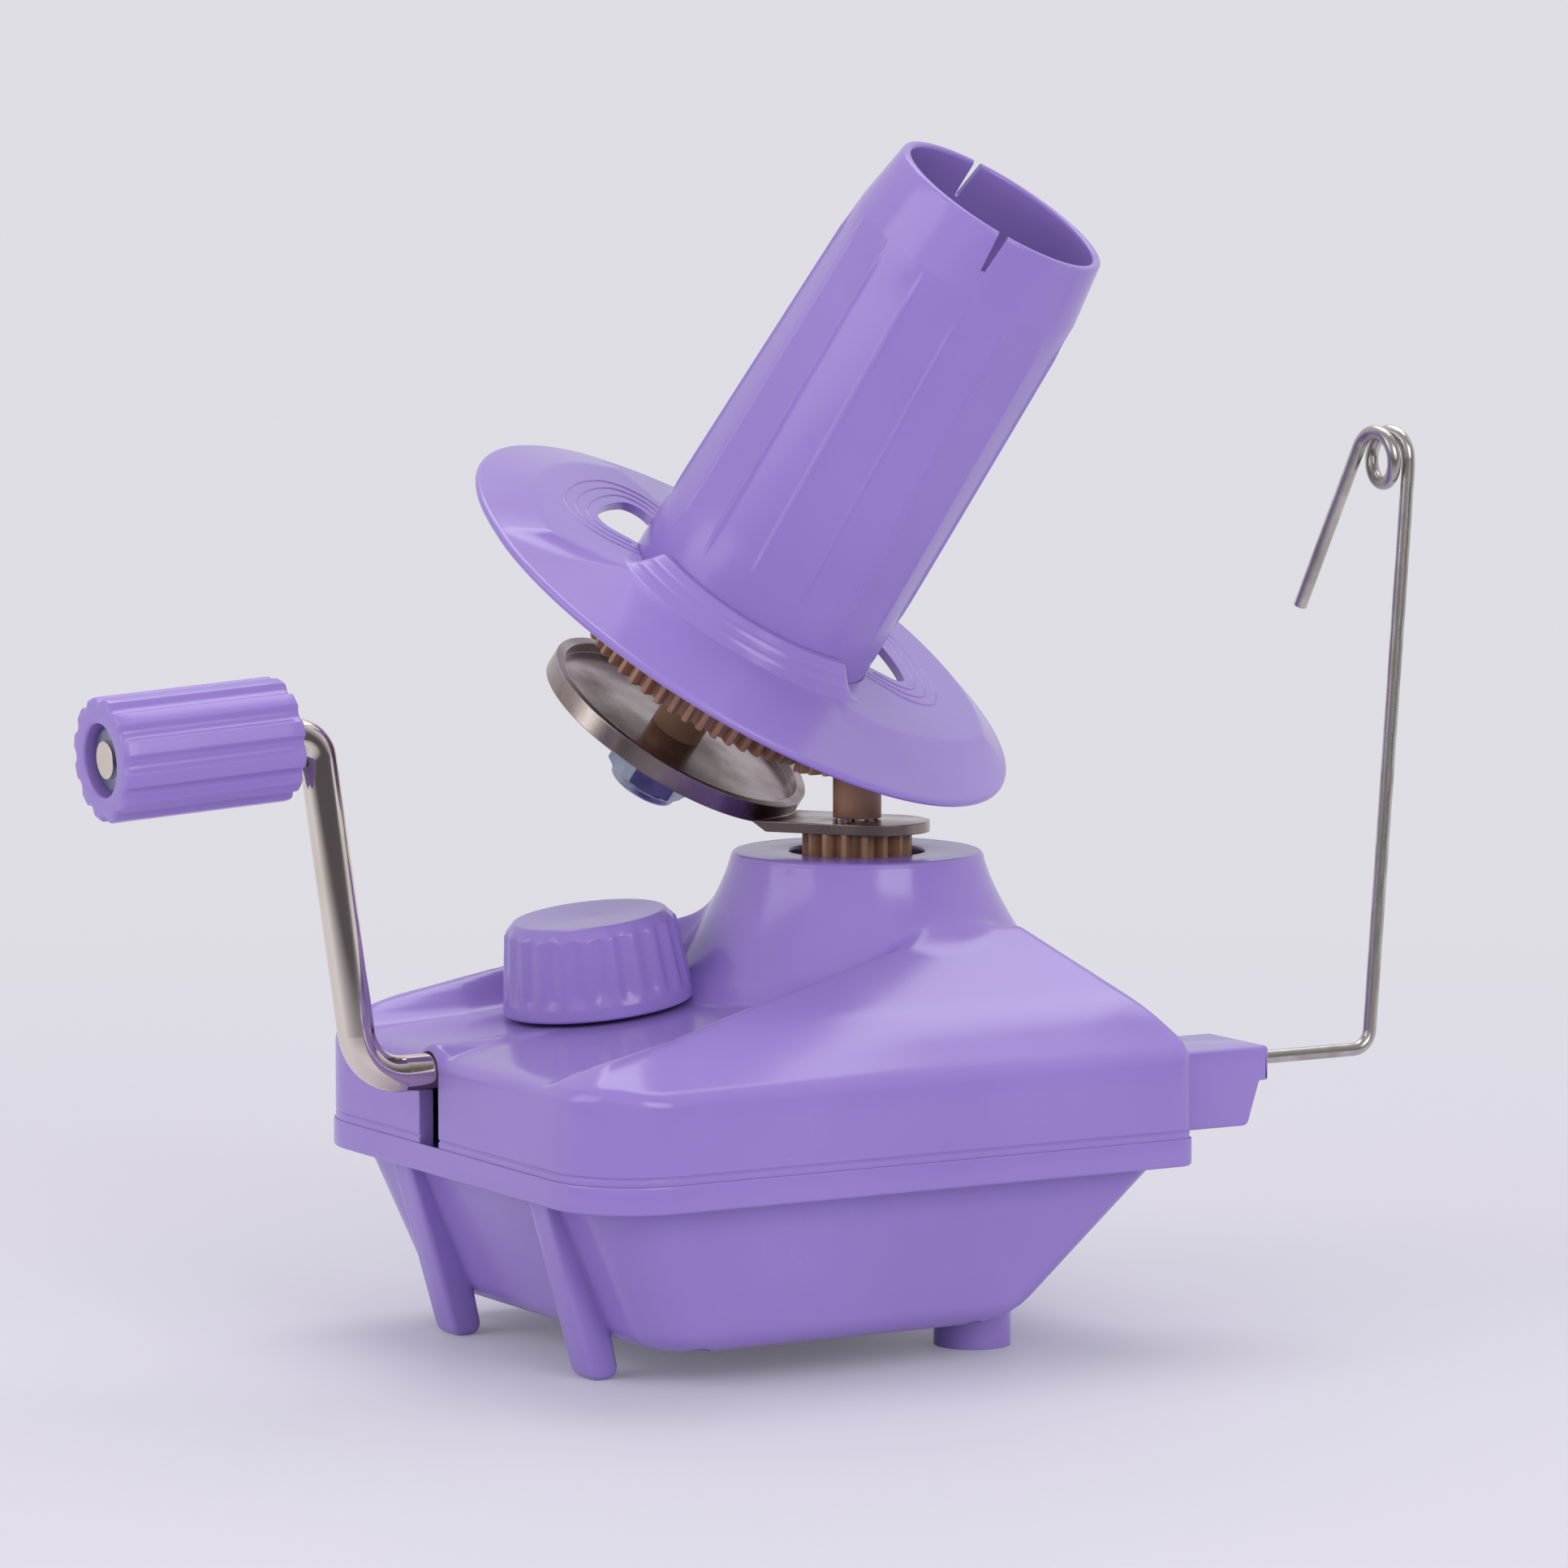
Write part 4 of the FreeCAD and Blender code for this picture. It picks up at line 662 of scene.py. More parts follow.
def soft_least(first, second, blend):
    """The lower of two heights, rounded where they meet."""
    share = max(blend - abs(first - second), 0) / blend
    return min(first, second) - share * share * blend / 4


def soft_most(first, second, blend):
    """The higher of two heights, rounded where they meet."""
    return -soft_least(-first, -second, blend)


eave = 50.0
near_eave = 49.6
near_steep = 0.80
near_steep_rear = 0.58
near_steep_run = 10.0
near_pitch = 0.50
far_pitch = 0.74
rear_pitch = 0.72
rear_steep_run = 5.6
rear_rise = 0.26
front_steep = 1.8
front_steep_run = 3.3
front_pitch = 1.15
hip_blend = 1.4
fold_blend = 1.2
corner_rise = 0.6
near_steep_turn = -20.0
near_steep_ease = 60.0
corners_of_wall = [
    (-body_rear + rear_round, -body_near + rear_round, rear_round, -1, -1, near_steep_rear),
    (-body_rear + rear_round, body_far - rear_round, rear_round, -1, 1, rear_pitch),
    (body_front - front_round, -body_near + front_round, front_round, 1, -1, front_steep),
    (body_front - front_round, body_far - front_round, front_round, 1, 1, front_steep),
]
no_limit = 200.0


def wall_gap(x, y):
    """How far inside the cover's wall a point lies in plan, and the roof's limit at a corner."""
    for centre_x, centre_y, radius, out_x, out_y, pitch in corners_of_wall:
        if (x - centre_x) * out_x > 0 and (y - centre_y) * out_y > 0:
            gap = radius - math.hypot(x - centre_x, y - centre_y)
            return gap, eave + pitch * gap + corner_rise
    return min(x + body_rear, body_front - x, y + body_near, body_far - y), no_limit


def folded_slope(start, steep, steep_run, pitch, run):
    """A slope that is steep at first and lower after a soft fold."""
    beyond = start + steep * steep_run + pitch * (run - steep_run)
    return soft_least(start + steep * run, beyond, fold_blend)


def roof_height(x, y):
    """The hip roof before the recess and the neck; its near slope is less steep at the rear."""
    slopes = [
        eave + far_pitch * (body_far - y),
        folded_slope(eave, rear_pitch, rear_steep_run, rear_rise, x + body_rear),
        folded_slope(eave, front_steep, front_steep_run, front_pitch, body_front - x),
        wall_gap(x, y)[1],
    ]
    rearward = min(max((near_steep_turn - x) / near_steep_ease, 0), 1)
    steep = near_steep + (near_steep_rear - near_steep) * rearward
    height = folded_slope(near_eave, steep, near_steep_run, near_pitch, y + body_near)
    for slope in slopes:
        height = soft_least(height, slope, hip_blend)
    return height


recess_floor = 50.6
recess_rise = math.tan(math.radians(7))
recess_bank = 1.3
recess_blend = 3.4
recess_edge_blend = 2.4
near_edge = [(-90.0, -36.5), (-80.0, -40.0), (-72.0, -42.0), (-62.0, -40.7), (0.0, -19.3)]
far_edge = [(-90.0, 36.5), (-75.0, 31.5), (-61.5, 26.0), (-46.0, 24.0), (-33.0, 21.0), (-25.0, 13.0),
            (0.0, -18.0)]


def run_at(points, x):
    """The value at x of a run of points joined by straight lines."""
    for (x_low, low), (x_high, high) in zip(points, points[1:]):
        if x <= x_high:
            return low + (high - low) * (x - x_low) / (x_high - x_low)
    return points[-1][1]


def recess_height(x, y):
    """The recess behind the neck: a floor that rises forward, between two banks."""
    floor = recess_floor + (x + body_rear) * recess_rise
    near_bank = floor + recess_bank * (run_at(near_edge, x) - y)
    far_bank = floor + recess_bank * (y - run_at(far_edge, x))
    return soft_most(soft_most(floor, near_bank, recess_blend), far_bank, recess_blend)


boss_radius = 21.5
boss_top = 80.2
boss_hole = 11.6
neck_fall = 3.65
neck_curve = 0.72
neck_foot = 33.0
neck_foot_fall = 2.0
neck_blend = 5.0
hump_radius = 4.7
hump_blend = 1.6


def cover_height(x, y):
    """The top of the cover over a point of its plan."""
    height = soft_least(roof_height(x, y), recess_height(x, y), recess_edge_blend)
    out = math.hypot(x, y)
    neck = boss_top - neck_fall * max(out - boss_radius, 0) ** neck_curve
    neck -= neck_foot_fall * max(out - neck_foot, 0)
    height = soft_most(height, neck, neck_blend)
    if abs(y) < hump_radius and x < 0:
        height = soft_most(height, rod_height + math.sqrt(hump_radius ** 2 - y * y), hump_blend)
    return height


cover_wall = 2.4
side_wall = cover_wall * 1.1
eave_round = 1.6
eave_steps = [0, 0.09, 0.35, 0.75, 1.2, 1.8, 2.5]
boss_round = 0.75
boss_flat = 16.0
hole_round = 0.4
roof_count = 96
roof_ease = 1.5
inner_count = 30
inner_ease = 1.4
wall_groove = [(35.9, 0), (36.5, 0), (36.7, 0.22), (36.9, 0.22), (37.1, 0), (40.0, 0), (45.0, 0)]


def cover_rings():
    """Rings from the wall's foot over the roof to the boss, down its hole and back inside."""
    foot = body_plan(0, parting)
    reach = [math.hypot(spot.x, spot.y) for spot in foot]
    rays = [Vector((spot.x, spot.y)).normalized() for spot in foot]
    rings = [foot]
    rings += [body_plan(inset, height) for height, inset in wall_groove]
    for step in range(len(eave_steps) + roof_count):
        ring = []
        for ray, far_out in zip(rays, reach):
            if step < len(eave_steps):
                out = far_out - eave_steps[step]
            else:
                share = (step - len(eave_steps) + 1) / roof_count
                eased = 1 - (1 - share) ** roof_ease
                start = far_out - eave_steps[-1]
                out = start + (boss_radius - start) * eased
            x, y = ray * out
            height = cover_height(x, y)
            gap = max(wall_gap(x, y)[0], 0)
            if gap < eave_round:
                height -= eave_round - math.sqrt(eave_round ** 2 - (eave_round - gap) ** 2)
            ring.append(Vector((x, y, min(height, boss_top - boss_round))))
        rings.append(ring)
    edge = []
    for step in range(1, 5):
        turn = math.radians(90 * step / 4)
        edge.append((boss_radius - boss_round * (1 - math.cos(turn)),
                     boss_top - boss_round * (1 - math.sin(turn))))
    edge.append((boss_flat, boss_top))
    for turn in quarter_turn:
        edge.append((boss_hole + hole_round * (1 - math.sin(turn)),
                     boss_top - hole_round * (1 - math.cos(turn))))
    edge += [(boss_hole, boss_top - cover_wall), (boss_radius - cover_wall - 1, boss_top - cover_wall)]
    for out, height in edge:
        rings.append([Vector((ray.x * out, ray.y * out, height)) for ray in rays])
    for step in range(inner_count + 1):
        ring = []
        share = (step / inner_count) ** inner_ease
        for ray, far_out in zip(rays, reach):
            rim = far_out - side_wall
            out = boss_radius - cover_wall + (rim - boss_radius + cover_wall) * share
            x, y = ray * out
            beyond = ray * (out + cover_wall)
            limit = cover_height(*beyond) if out + cover_wall < far_out else no_limit
            ring.append(Vector((x, y, min(cover_height(x, y), limit) - cover_wall)))
        rings.append(ring)
    rings.append([Vector((ray.x * (far_out - side_wall), ray.y * (far_out - side_wall), parting))
                  for ray, far_out in zip(rays, reach)])
    return rings


upper_cover = skinned("cover_moulding", cover_rings(), joined=True, crease=35)

tool_edge = 0.01
slot_half = 3.4
slot_foot = parting - 5
slot_top = rod_height + slot_half
slot_start = -body_rear - 3
slot_depth = 8.0
slot_outline = softened([
    (-slot_half, slot_foot, 0),
    (slot_half, slot_foot, 0),
    (slot_half, slot_top, slot_half - tool_edge),
    (-slot_half, slot_top, slot_half - tool_edge),
], steps=10)
slot_tool = slab("slot", slot_outline, lambda spot, depth: Vector((slot_start + depth, spot.x, spot.y)),
                 slot_depth, tool_edge)
cut_from(upper_cover, slot_tool)
cut_from(upper_cover, clamp_way(-8, 4))

block_near = -52.0
block_far = -34.0
block_rear = 30.6
block_foot = 35.8
block_shelf = 43.3
block_front = 50.0
block_top = 49.2
block_edge = 0.7
block_outline = softened([
    (block_rear, block_foot, 0),
    (45.9, block_foot, 1.2),
    (48.3, block_shelf, 0.4),
    (block_front, block_shelf, 0.4),
    (block_front, block_top, block_edge),
    (block_rear, block_top, 0),
], steps=4)
guide_block = slab("guide_block", block_outline,
                   lambda spot, depth: Vector((spot.x, block_near + depth, spot.y)),
                   block_far - block_near, block_edge)
joined_on(upper_cover, guide_block)
guide_spot = joint_line("yarn_guide_swivel")[0]
wire_way_radius = 1.2
wire_way_reach = Vector((14, 0, 0))
wire_way = round_bar(wire_way_radius, guide_spot - wire_way_reach, guide_spot + wire_way_reach, 24)
cut_from(upper_cover, wire_way)
dressed(upper_cover, lavender_plastic, "lavender_plastic", "housing", "upper_cover")


# Carrier plate and its rivets: pressed steel dish under the ring gear, with a flat tab
# riveted on the pinion. The axle bolt, its washer, its domed lock nut and the small rings
# of the grip, the knob and the yarn guide are zinc plated.
dish_tone = (0.44, 0.38, 0.36, 1)
dish_shade = (0.26, 0.20, 0.18, 1)
pressed_steel = plain_steel("pressed_steel", dish_tone, dish_shade,
                            smooth=0.20, rough=0.36, edge_width=0.3, grain_size=12.0)
coated(pressed_steel, "carrier_plate", "carrier_rivets")
zinc = plain_steel("zinc", (0.33, 0.37, 0.46, 1), (0.18, 0.21, 0.29, 1),
                   smooth=0.26, rough=0.40, edge_width=0.3, grain_size=4.0)
coated(zinc, "axle_bolt", "axle_washer", "grip_washer", "grip_retainer", "knob_retainer", "guide_ring")


# Winding cone: lavender plastic tube that leans on the spindle and spins on its own axle.
# Fifteen shallow flutes keep the yarn from slipping, and two slots in the rim hold its end.
# It is screwed to the ring gear from below, with the flange between them.

def turned(profile, count, place, flute=None, twist=None):
    """Rings of a profile of radius and height about a frame's Z; flute changes the radius."""
    rings = []
    for radius, height in profile:
        if radius < 0.001:
            rings.append([place @ Vector((0, 0, height))])
            continue
        shift = twist(height) if twist else 0
        ring = []
        for step in range(count):
            turn = 2 * math.pi * step / count
            out = radius + (flute(turn, radius, height) if flute else 0)
            turn += shift
            ring.append(place @ Vector((out * math.cos(turn), out * math.sin(turn), height)))
        rings.append(ring)
    return rings


def divided(points, longest, closed=True):
    """An outline with its long runs divided."""
    result = []
    ends = points[1:] + points[:1] if closed else points[1:]
    for start, end in zip(points, ends):
        parts = max(1, math.ceil((end - start).length / longest))
        result += [start.lerp(end, step / parts) for step in range(parts)]
    if not closed:
        result.append(points[-1])
    return result


cone_pivot, cone_axis = joint_line("cone_spin")
cone_axis.normalize()
cone_apex = cone_pivot - cone_axis * (cone_pivot.x / cone_axis.x)
cone_side = Vector((0, 0, 1)).cross(cone_axis).normalized()
cone_down = cone_side.cross(cone_axis)
cone_frame = Matrix.Translation(cone_apex) @ Matrix((cone_down, cone_side, cone_axis)).transposed().to_4x4()


def cone_turned(degrees):
    """The cone's frame turned about its own axis."""
    return cone_frame @ Matrix.Rotation(math.radians(degrees), 4, "Z")


def cone_bar(radius, x, y, low, high, count=40):
    """A round bar beside the cone's axis, between two heights in its frame."""
    return round_bar(radius, cone_frame @ Vector((x, y, low)), cone_frame @ Vector((x, y, high)), count)


flange_top = -35.2
flange_thickness = 2.0
flange_foot = flange_top - flange_thickness
hub_bore = 6.1
cone_outline = divided(softened([
    (22.5, flange_foot, 0.2),
    (22.5, -31.0, 6.0),
    (21.0, 36.5, 4.0),
    (19.3, 47.9, 0.6),
    (17.7, 47.9, 0.6),
    (19.4, 36.5, 4.0),
    (20.9, -31.0, 0),
    (20.9, flange_top, 0.5),
    (hub_bore, flange_top, 0.2),
    (hub_bore, flange_foot, 0.2),
]), 3.0)
cone_columns = 900
cone_skin = 20.95
flute_count = 15
flute_low = -24.0
flute_high = 34.0
flute_end = 3.0
flute_depth = 0.34
crease_rise = 0.32
crease_width = 0.04
crease_turn = math.radians(12)
crease_twist = -0.11
crease_middle = 9.6


def cone_flute(turn, radius, height):
    """Shallow hollows between fine raised creases, fading out at both ends."""
    if radius < cone_skin or not flute_low < height < flute_high:
        return 0
    across = ((turn - crease_turn) * flute_count / (2 * math.pi) + 0.5) % 1 - 0.5
    hollow = 1 - (2 * abs(across) - 1) ** 2
    crease = math.exp(-(across / crease_width) ** 2)
    end = min(height - flute_low, flute_high - height, flute_end) / flute_end
    return (crease_rise * crease - flute_depth * hollow) * math.sin(end * math.pi / 2)


def cone_twist(height):
    """The creases turn slightly as they rise."""
    return math.radians(crease_twist * (height - crease_middle))


cone_rings = turned(cone_outline, cone_columns, cone_frame, cone_flute, cone_twist)
winding_cone = skinned("cone_moulding", cone_rings, joined=True, crease=40)
screw_circle = 13.0
for index in range(3):
    turn = math.radians(90 + 120 * index)
    x = screw_circle * math.cos(turn)
    y = screw_circle * math.sin(turn)
    joined_on(winding_cone, cone_bar(3.2, x, y, -36.5, -30.2))
    cut_from(winding_cone, cone_bar(1.25, x, y, -38, -31.2, 20))
rim_slot_turns = (295.7, 131.0)
rim_slot = softened([(-0.35, 40.8, 0.3), (0.35, 40.8, 0.3), (1.0, 50.0, 0), (-1.0, 50.0, 0)])
rim_tool_start = 14.0
rim_tool_length = 10.0
for slot_turn in rim_slot_turns:
    spun = cone_turned(slot_turn)
    rim_tool = slab("rim_slot", rim_slot,
                    lambda spot, depth: spun @ Vector((rim_tool_start + depth, spot.x, spot.y)),
                    rim_tool_length, tool_edge)
    cut_from(winding_cone, rim_tool)
dressed(winding_cone, lavender_plastic, "lavender_plastic", "cone", "winding_cone")


# Ring gear: brown nylon drum under the flange, screwed to the cone. Its straight teeth roll
# round the fixed post pinion. The domed lock nut of the axle is below it, under the steel dish.
gear_teeth = 50
gear_tip = 23.3
gear_root = 21.3
gear_body = 20.9
gear_hub = 6.0
web_top = -37.3
web_low = -39.2
gear_foot = -52.0
tooth_top = -44.6
tooth_land = 0.22
tooth_flank = 0.10
axle_way = 2.6
hub_foot = -56.8
gear_outline = divided(softened([
    (axle_way, flange_top, 0.2),
    (gear_hub, flange_top, 0.2),
    (gear_hub, web_top, 0.2),
    (20.5, web_top, 0.3),
    (20.5, tooth_top, 0.3),
    (gear_tip, tooth_top, 0.3),
    (gear_tip, gear_foot, 0.4),
    (18.8, gear_foot, 0.3),
    (18.4, web_low, 0.5),
    (gear_hub, web_low, 0.3),
    (gear_hub, hub_foot, 0.2),
    (axle_way, hub_foot, 0.2),
]), 3.0)


def gear_tooth(turn, radius, height):
    """Straight teeth with sloping flanks."""
    if radius < gear_body:
        return 0
    across = (turn * gear_teeth / (2 * math.pi)) % 1
    flank = min(max((abs(across - 0.5) - tooth_land) / tooth_flank, 0), 1)
    return -(gear_tip - gear_root) * (1 - flank) * min((radius - gear_body) / 2.0, 1)


gear_rings = turned(gear_outline, gear_teeth * 14, cone_frame, gear_tooth)
ring_gear = skinned("gear_ring", gear_rings, joined=True, crease=30)
dressed(ring_gear, brown_nylon, "brown_nylon", "cone", "ring_gear")

nut_top = -62.9
nut_low = -71.2
nut_across = 13.4
nut_corner = 7.9
nut_dome = 5.0
nut_outline = divided(softened([
    (axle_way, nut_top, 0.2),
    (nut_corner, nut_top, 0.3),
    (nut_corner, nut_low, 0.8),
    (6.3, nut_low - 0.9, 0.3),
    (5.9, -73.4, 0.9),
    (2.9, -74.2, 0.4),
    (axle_way, -73.2, 0.2),
]), 1.0)


def nut_flat(turn, radius, height):
    """Six flats with corners chamfered by the turned outline."""
    if height < nut_low - 0.8 or radius < nut_dome:
        return 0
    off = (turn + math.pi / 6) % (math.pi / 3) - math.pi / 6
    return min(nut_across / 2 / math.cos(off), radius) - radius


axle_locknut = skinned("nut_body", turned(nut_outline, 144, cone_frame, nut_flat), joined=True, crease=30)
dressed(axle_locknut, zinc, "zinc", "spindle", "axle_locknut")


# Yarn flange: the brim that the ball of yarn rests on, moulded in the same plastic.
# A lined collar hugs the cone on two sides, and between its halves lie two flat fields with
# a window each, framed by fine raised lines. Beyond a fold the brim slopes down to its edge.
collar_bore = 22.55
collar_top = 24.0
collar_foot = 28.3
collar_height = 4.6
collar_line = 0.13
collar_waves = 6
collar_ease = 11.0
collar_count = 36
brim_count = 44
brim_drop = 2.9
brim_edge = 52.6
brim_thickness = 1.5
brim_round = 0.75
edge_count = 8
under_count = 20
under_shift = 0.6
brim_crease = [(0, 38.3), (11, 41.4), (27, 46.0), (84, 46.0), (92, collar_foot), (148, collar_foot),
               (156, 43.0), (232, 43.0), (240, collar_foot), (330, collar_foot), (343, 35.0), (360, 38.3)]
window_turns = (187.0, 53.0)
window_half = 20.0
collar_halves = ((289.0, 53.0), (120.0, 33.0))


def within(turn, middle, half, ease):
    """How far a direction lies in a sector, from 0 outside to 1 inside."""
    away = abs((turn - middle + 180) % 360 - 180)
    share = min(max((half - away) / ease + 0.5, 0), 1)
    return share * share * (3 - 2 * share)


def brim_height(radius, turn):
    """The brim's upper face at a radius and a direction in degrees."""
    crease = run_at(brim_crease, turn % 360)
    height = flange_top - brim_drop * max(radius - crease, 0) / (brim_edge - crease)
    if radius < collar_foot:
        share = min((collar_foot - radius) / (collar_foot - collar_top), 1)
        line = collar_line * max(math.cos(share * collar_waves * math.pi), 0) if 0.08 < share < 0.92 else 0
        collar = max(within(turn, middle, half, collar_ease) for middle, half in collar_halves)
        height += collar * (collar_height * share + line)
    return height


brim_start = collar_bore + 0.02
brim_end = brim_edge - brim_round
brim_radii = [brim_start, 22.9, 23.4, collar_top]
for step in range(1, collar_count + 1):
    brim_radii.append(collar_top + (collar_foot - collar_top) * step / collar_count)
for step in range(1, brim_count + 1):
    brim_radii.append(collar_foot + (brim_end - collar_foot) * step / brim_count)
brim_columns = 360
brim_rings = []


def brim_ring(radius, level, drop):
    """Adds a ring of the brim at a radius, a drop below the upper face at another radius."""
    ring = []
    for turn in range(brim_columns):
        angle = math.radians(turn)
        height = brim_height(level, turn) - drop
        ring.append(cone_frame @ Vector((radius * math.cos(angle), radius * math.sin(angle), height)))
    brim_rings.append(ring)


for radius in brim_radii:
    brim_ring(radius, radius, 0)
for step in range(1, edge_count + 1):
    bend = math.radians(180 * step / edge_count)
    brim_ring(brim_end + brim_round * math.sin(bend), brim_end, brim_thickness / 2 * (1 - math.cos(bend)))
for step in range(under_count - 1, -1, -1):
    radius = brim_start + (brim_end - collar_bore) * step / under_count
    brim_ring(radius, max(radius - under_shift, collar_foot), brim_thickness)
yarn_flange = skinned("flange_moulding", brim_rings, joined=True, crease=32)

window_in = 22.2
window_out = 31.0
window_middle = 28.0
window_in_round = 0.6
window_out_round = 3.4
window_tool_start = -42.0
window_tool_length = 14.0
line_radius = 0.2
line_start = 23.0
line_margins = (2.2, 4.4, 6.6)


def window_line(grow):
    """A window's outline grown by a margin: a rounded bar bent about the axis, from its inner middle."""
    side = math.radians(window_half) * window_middle + grow
    near = window_in - grow
    far = window_out + grow
    far_round = window_out_round + grow
    corners = [
        (near, 0, 0),
        (near, side, window_in_round),
        (far, side, far_round),
        (far, -side, far_round),
        (near, -side, window_in_round),
    ]
    points = []
    for spot in divided(softened(corners, steps=10), 1.2):
        turn = spot.y / window_middle
        points.append(Vector((spot.x * math.cos(turn), spot.x * math.sin(turn))))
    return points


def ridge(line, place, window_turn):
    """A fine raised line on the brim along an open run of points, sunk to its middle."""
    rings = []
    for index, spot in enumerate(line):
        along = (line[min(index + 1, len(line) - 1)] - line[max(index - 1, 0)]).normalized()
        outward = Vector((along.y, -along.x))
        direction = window_turn + math.degrees(math.atan2(spot.y, spot.x))
        height = brim_height(max(spot.length, collar_foot), direction)
        ring = []
        for step in range(8):
            turn = 2 * math.pi * step / 8
            flat = spot + outward * line_radius * math.cos(turn)
            ring.append(place @ Vector((flat.x, flat.y, height + line_radius * math.sin(turn))))
        rings.append(ring)
    return skinned("ridge", rings)


for window_turn in window_turns:
    spun = cone_turned(window_turn)
    tool = slab("window", window_line(0),
                lambda spot, depth: spun @ Vector((spot.x, spot.y, window_tool_start + depth)),
                window_tool_length, tool_edge)
    cut_from(yarn_flange, tool)
for window_turn in window_turns:
    for margin in line_margins:
        line = [spot for spot in window_line(margin) if spot.length > line_start]
        laid_on(yarn_flange, ridge(line, cone_turned(window_turn), window_turn))
dressed(yarn_flange, lavender_plastic, "lavender_plastic", "cone", "yarn_flange")


# Clamp knob: fluted hand nut in the same plastic, on a turned brass insert with an inner thread.
# It turns in the recess of the cover, held by a ring under the cover's wall.
knob_frame = Matrix.Translation(knob_spot) @ knob_axis.to_track_quat("Z", "Y").to_matrix().to_4x4()
insert_radius = 4.5
insert_top = 11.0
knob_hollow = 12.6
knob_outline = divided(softened([
    (0, insert_top, 0),
    (insert_radius, insert_top, 0),
    (insert_radius, 0, 0),
    (7.6, 0, 0.3),
    (7.6, knob_hollow, 0.5),
    (12.2, knob_hollow, 0.5),
    (13.9, 0, 0.2),
    (16.3, 0, 0.5),
    (16.1, 2.2, 0.3),
    (14.65, 13.6, 0.9),
    (12.9, 15.45, 0.8),
    (0, 14.9, 0),
], closed=False), 1.2, closed=False)
knob_flutes = 22
knob_skin = 13.0
knob_band = 2.3
knob_chamfer = 14.6
knob_flute_end = 1.2
knob_flute_depth = 0.55


def knob_flute(turn, radius, height):
    """Shallow vertical hollows between a smooth foot band and the chamfered top."""
    if radius < knob_skin or not knob_band < height < knob_chamfer:
        return 0
    hollow = 0.5 - 0.5 * math.cos(turn * knob_flutes)
    end = min(height - knob_band, knob_chamfer - height, knob_flute_end) / knob_flute_end
    return -knob_flute_depth * hollow * end


knob_rings = turned(knob_outline, knob_flutes * 12, knob_frame, knob_flute)
clamp_knob = skinned("knob_moulding", knob_rings, crease=38)
dressed(clamp_knob, lavender_plastic, "lavender_plastic", "knob", "clamp_knob")
brass = plain_steel("brass", (0.72, 0.52, 0.22, 1), (0.58, 0.39, 0.15, 1),
                    smooth=0.2, rough=0.32, edge_width=0.2, grain_size=3.0)
coated(brass, "knob_insert")


# Crank grip: a ribbed handle in the same plastic that turns freely on the bent rod's end,
# between two washers. A round well in its outer end holds the outer washer.
grip_axis = joint_line("grip_spin")[1].normalized()
rod_bend = Vector((-103.6, 0, 105.3))
grip_gap = 6.35
grip_start = rod_bend + grip_axis * grip_gap
grip_frame = Matrix.Translation(grip_start) @ grip_axis.to_track_quat("Z", "Y").to_matrix().to_4x4()
grip_length = 32.5
grip_radius = 10.3
grip_edge = 0.9
grip_bore = 3.2
grip_well = 6.0
well_floor = grip_length - 3
grip_outline = divided(softened([
    (grip_bore, 0, 0.2),
    (grip_radius, 0, grip_edge),
    (grip_radius, grip_length, grip_edge),
    (grip_well, grip_length, 0.5),
    (grip_well, well_floor, 0.2),
    (grip_bore, well_floor, 0),
]), 2.0)
grip_skin = 8.5
grip_grooves = 12
groove_radius = 1.7
groove_depth = 0.85
groove_blend = 0.5


def grip_groove(turn, radius, height):
    """Round grooves along the grip, between broad lobes."""
    if radius < grip_skin:
        return 0
    pitch = 2 * math.pi / grip_grooves
    off = (turn + pitch / 2) % pitch - pitch / 2
    centre = grip_radius + groove_radius - groove_depth
    reach = centre * math.sin(off)
    if abs(reach) >= groove_radius:
        return 0
    cut = centre * math.cos(off) - math.sqrt(groove_radius ** 2 - reach ** 2)
    return min(soft_least(grip_radius, cut, groove_blend) - grip_radius, 0)


grip_rings = turned(grip_outline, grip_grooves * 24, grip_frame, grip_groove)
crank_grip = skinned("grip_moulding", grip_rings, joined=True)
dressed(crank_grip, lavender_plastic, "lavender_plastic", "grip", "crank_grip")


# Yarn guide: one length of drawn bright steel wire, bent up from the block at the front
# and closed into an eye of one and a half turns, with a tail that keeps the yarn in.
wire_steel = plain_steel("wire_steel", (0.60, 0.57, 0.53, 1), (0.42, 0.39, 0.36, 1),
                         smooth=0.24, rough=0.36, edge_width=0.1, grain_size=6.0)
coated(wire_steel, "yarn_guide_wire")


# Studio: a pale floor that fills the view and four soft lights, from the left, the right, the
# front and above. The floor fades to an even tone away from the shadow, and glossy pieces see
# it darker towards the camera.
def shader_mix(tree, share, first, second):
    """Two shaders mixed by a share."""
    made = add(tree, "MixShader", Fac=share)
    tree.links.new(first, made.inputs[1])
    tree.links.new(second, made.inputs[2])
    return made.outputs[0]


floor_colour = (0.70, 0.68, 0.76, 1)
backdrop_colour = (0.735, 0.725, 0.775, 1)
dark_room = (0.10, 0.09, 0.11, 1)
floor_half = 90.0
floor_middle_shift = (0.02, 0.0, 0.0)
fade_start = 0.12
fade_end = 0.60
fade_least = 0.15
to_camera = (-0.51, -0.86, 0.0)
floor_mesh = bmesh.new()
sides = ((-1, -1), (1, -1), (1, 1), (-1, 1))
corners = [floor_mesh.verts.new((x * floor_half, y * floor_half, 0)) for x, y in sides]
floor_mesh.faces.new(corners)
floor = finished("floor", floor_mesh, 40)
floor_paint, tree, shader = new_material("floor_paint")
put(tree, shader.inputs["Base Color"], floor_colour)
shader.inputs["Roughness"].default_value = 0.6
plain = add(tree, "Emission", Color=backdrop_colour, Strength=1.0)
spot = add(tree, "TexCoord").outputs["Object"]
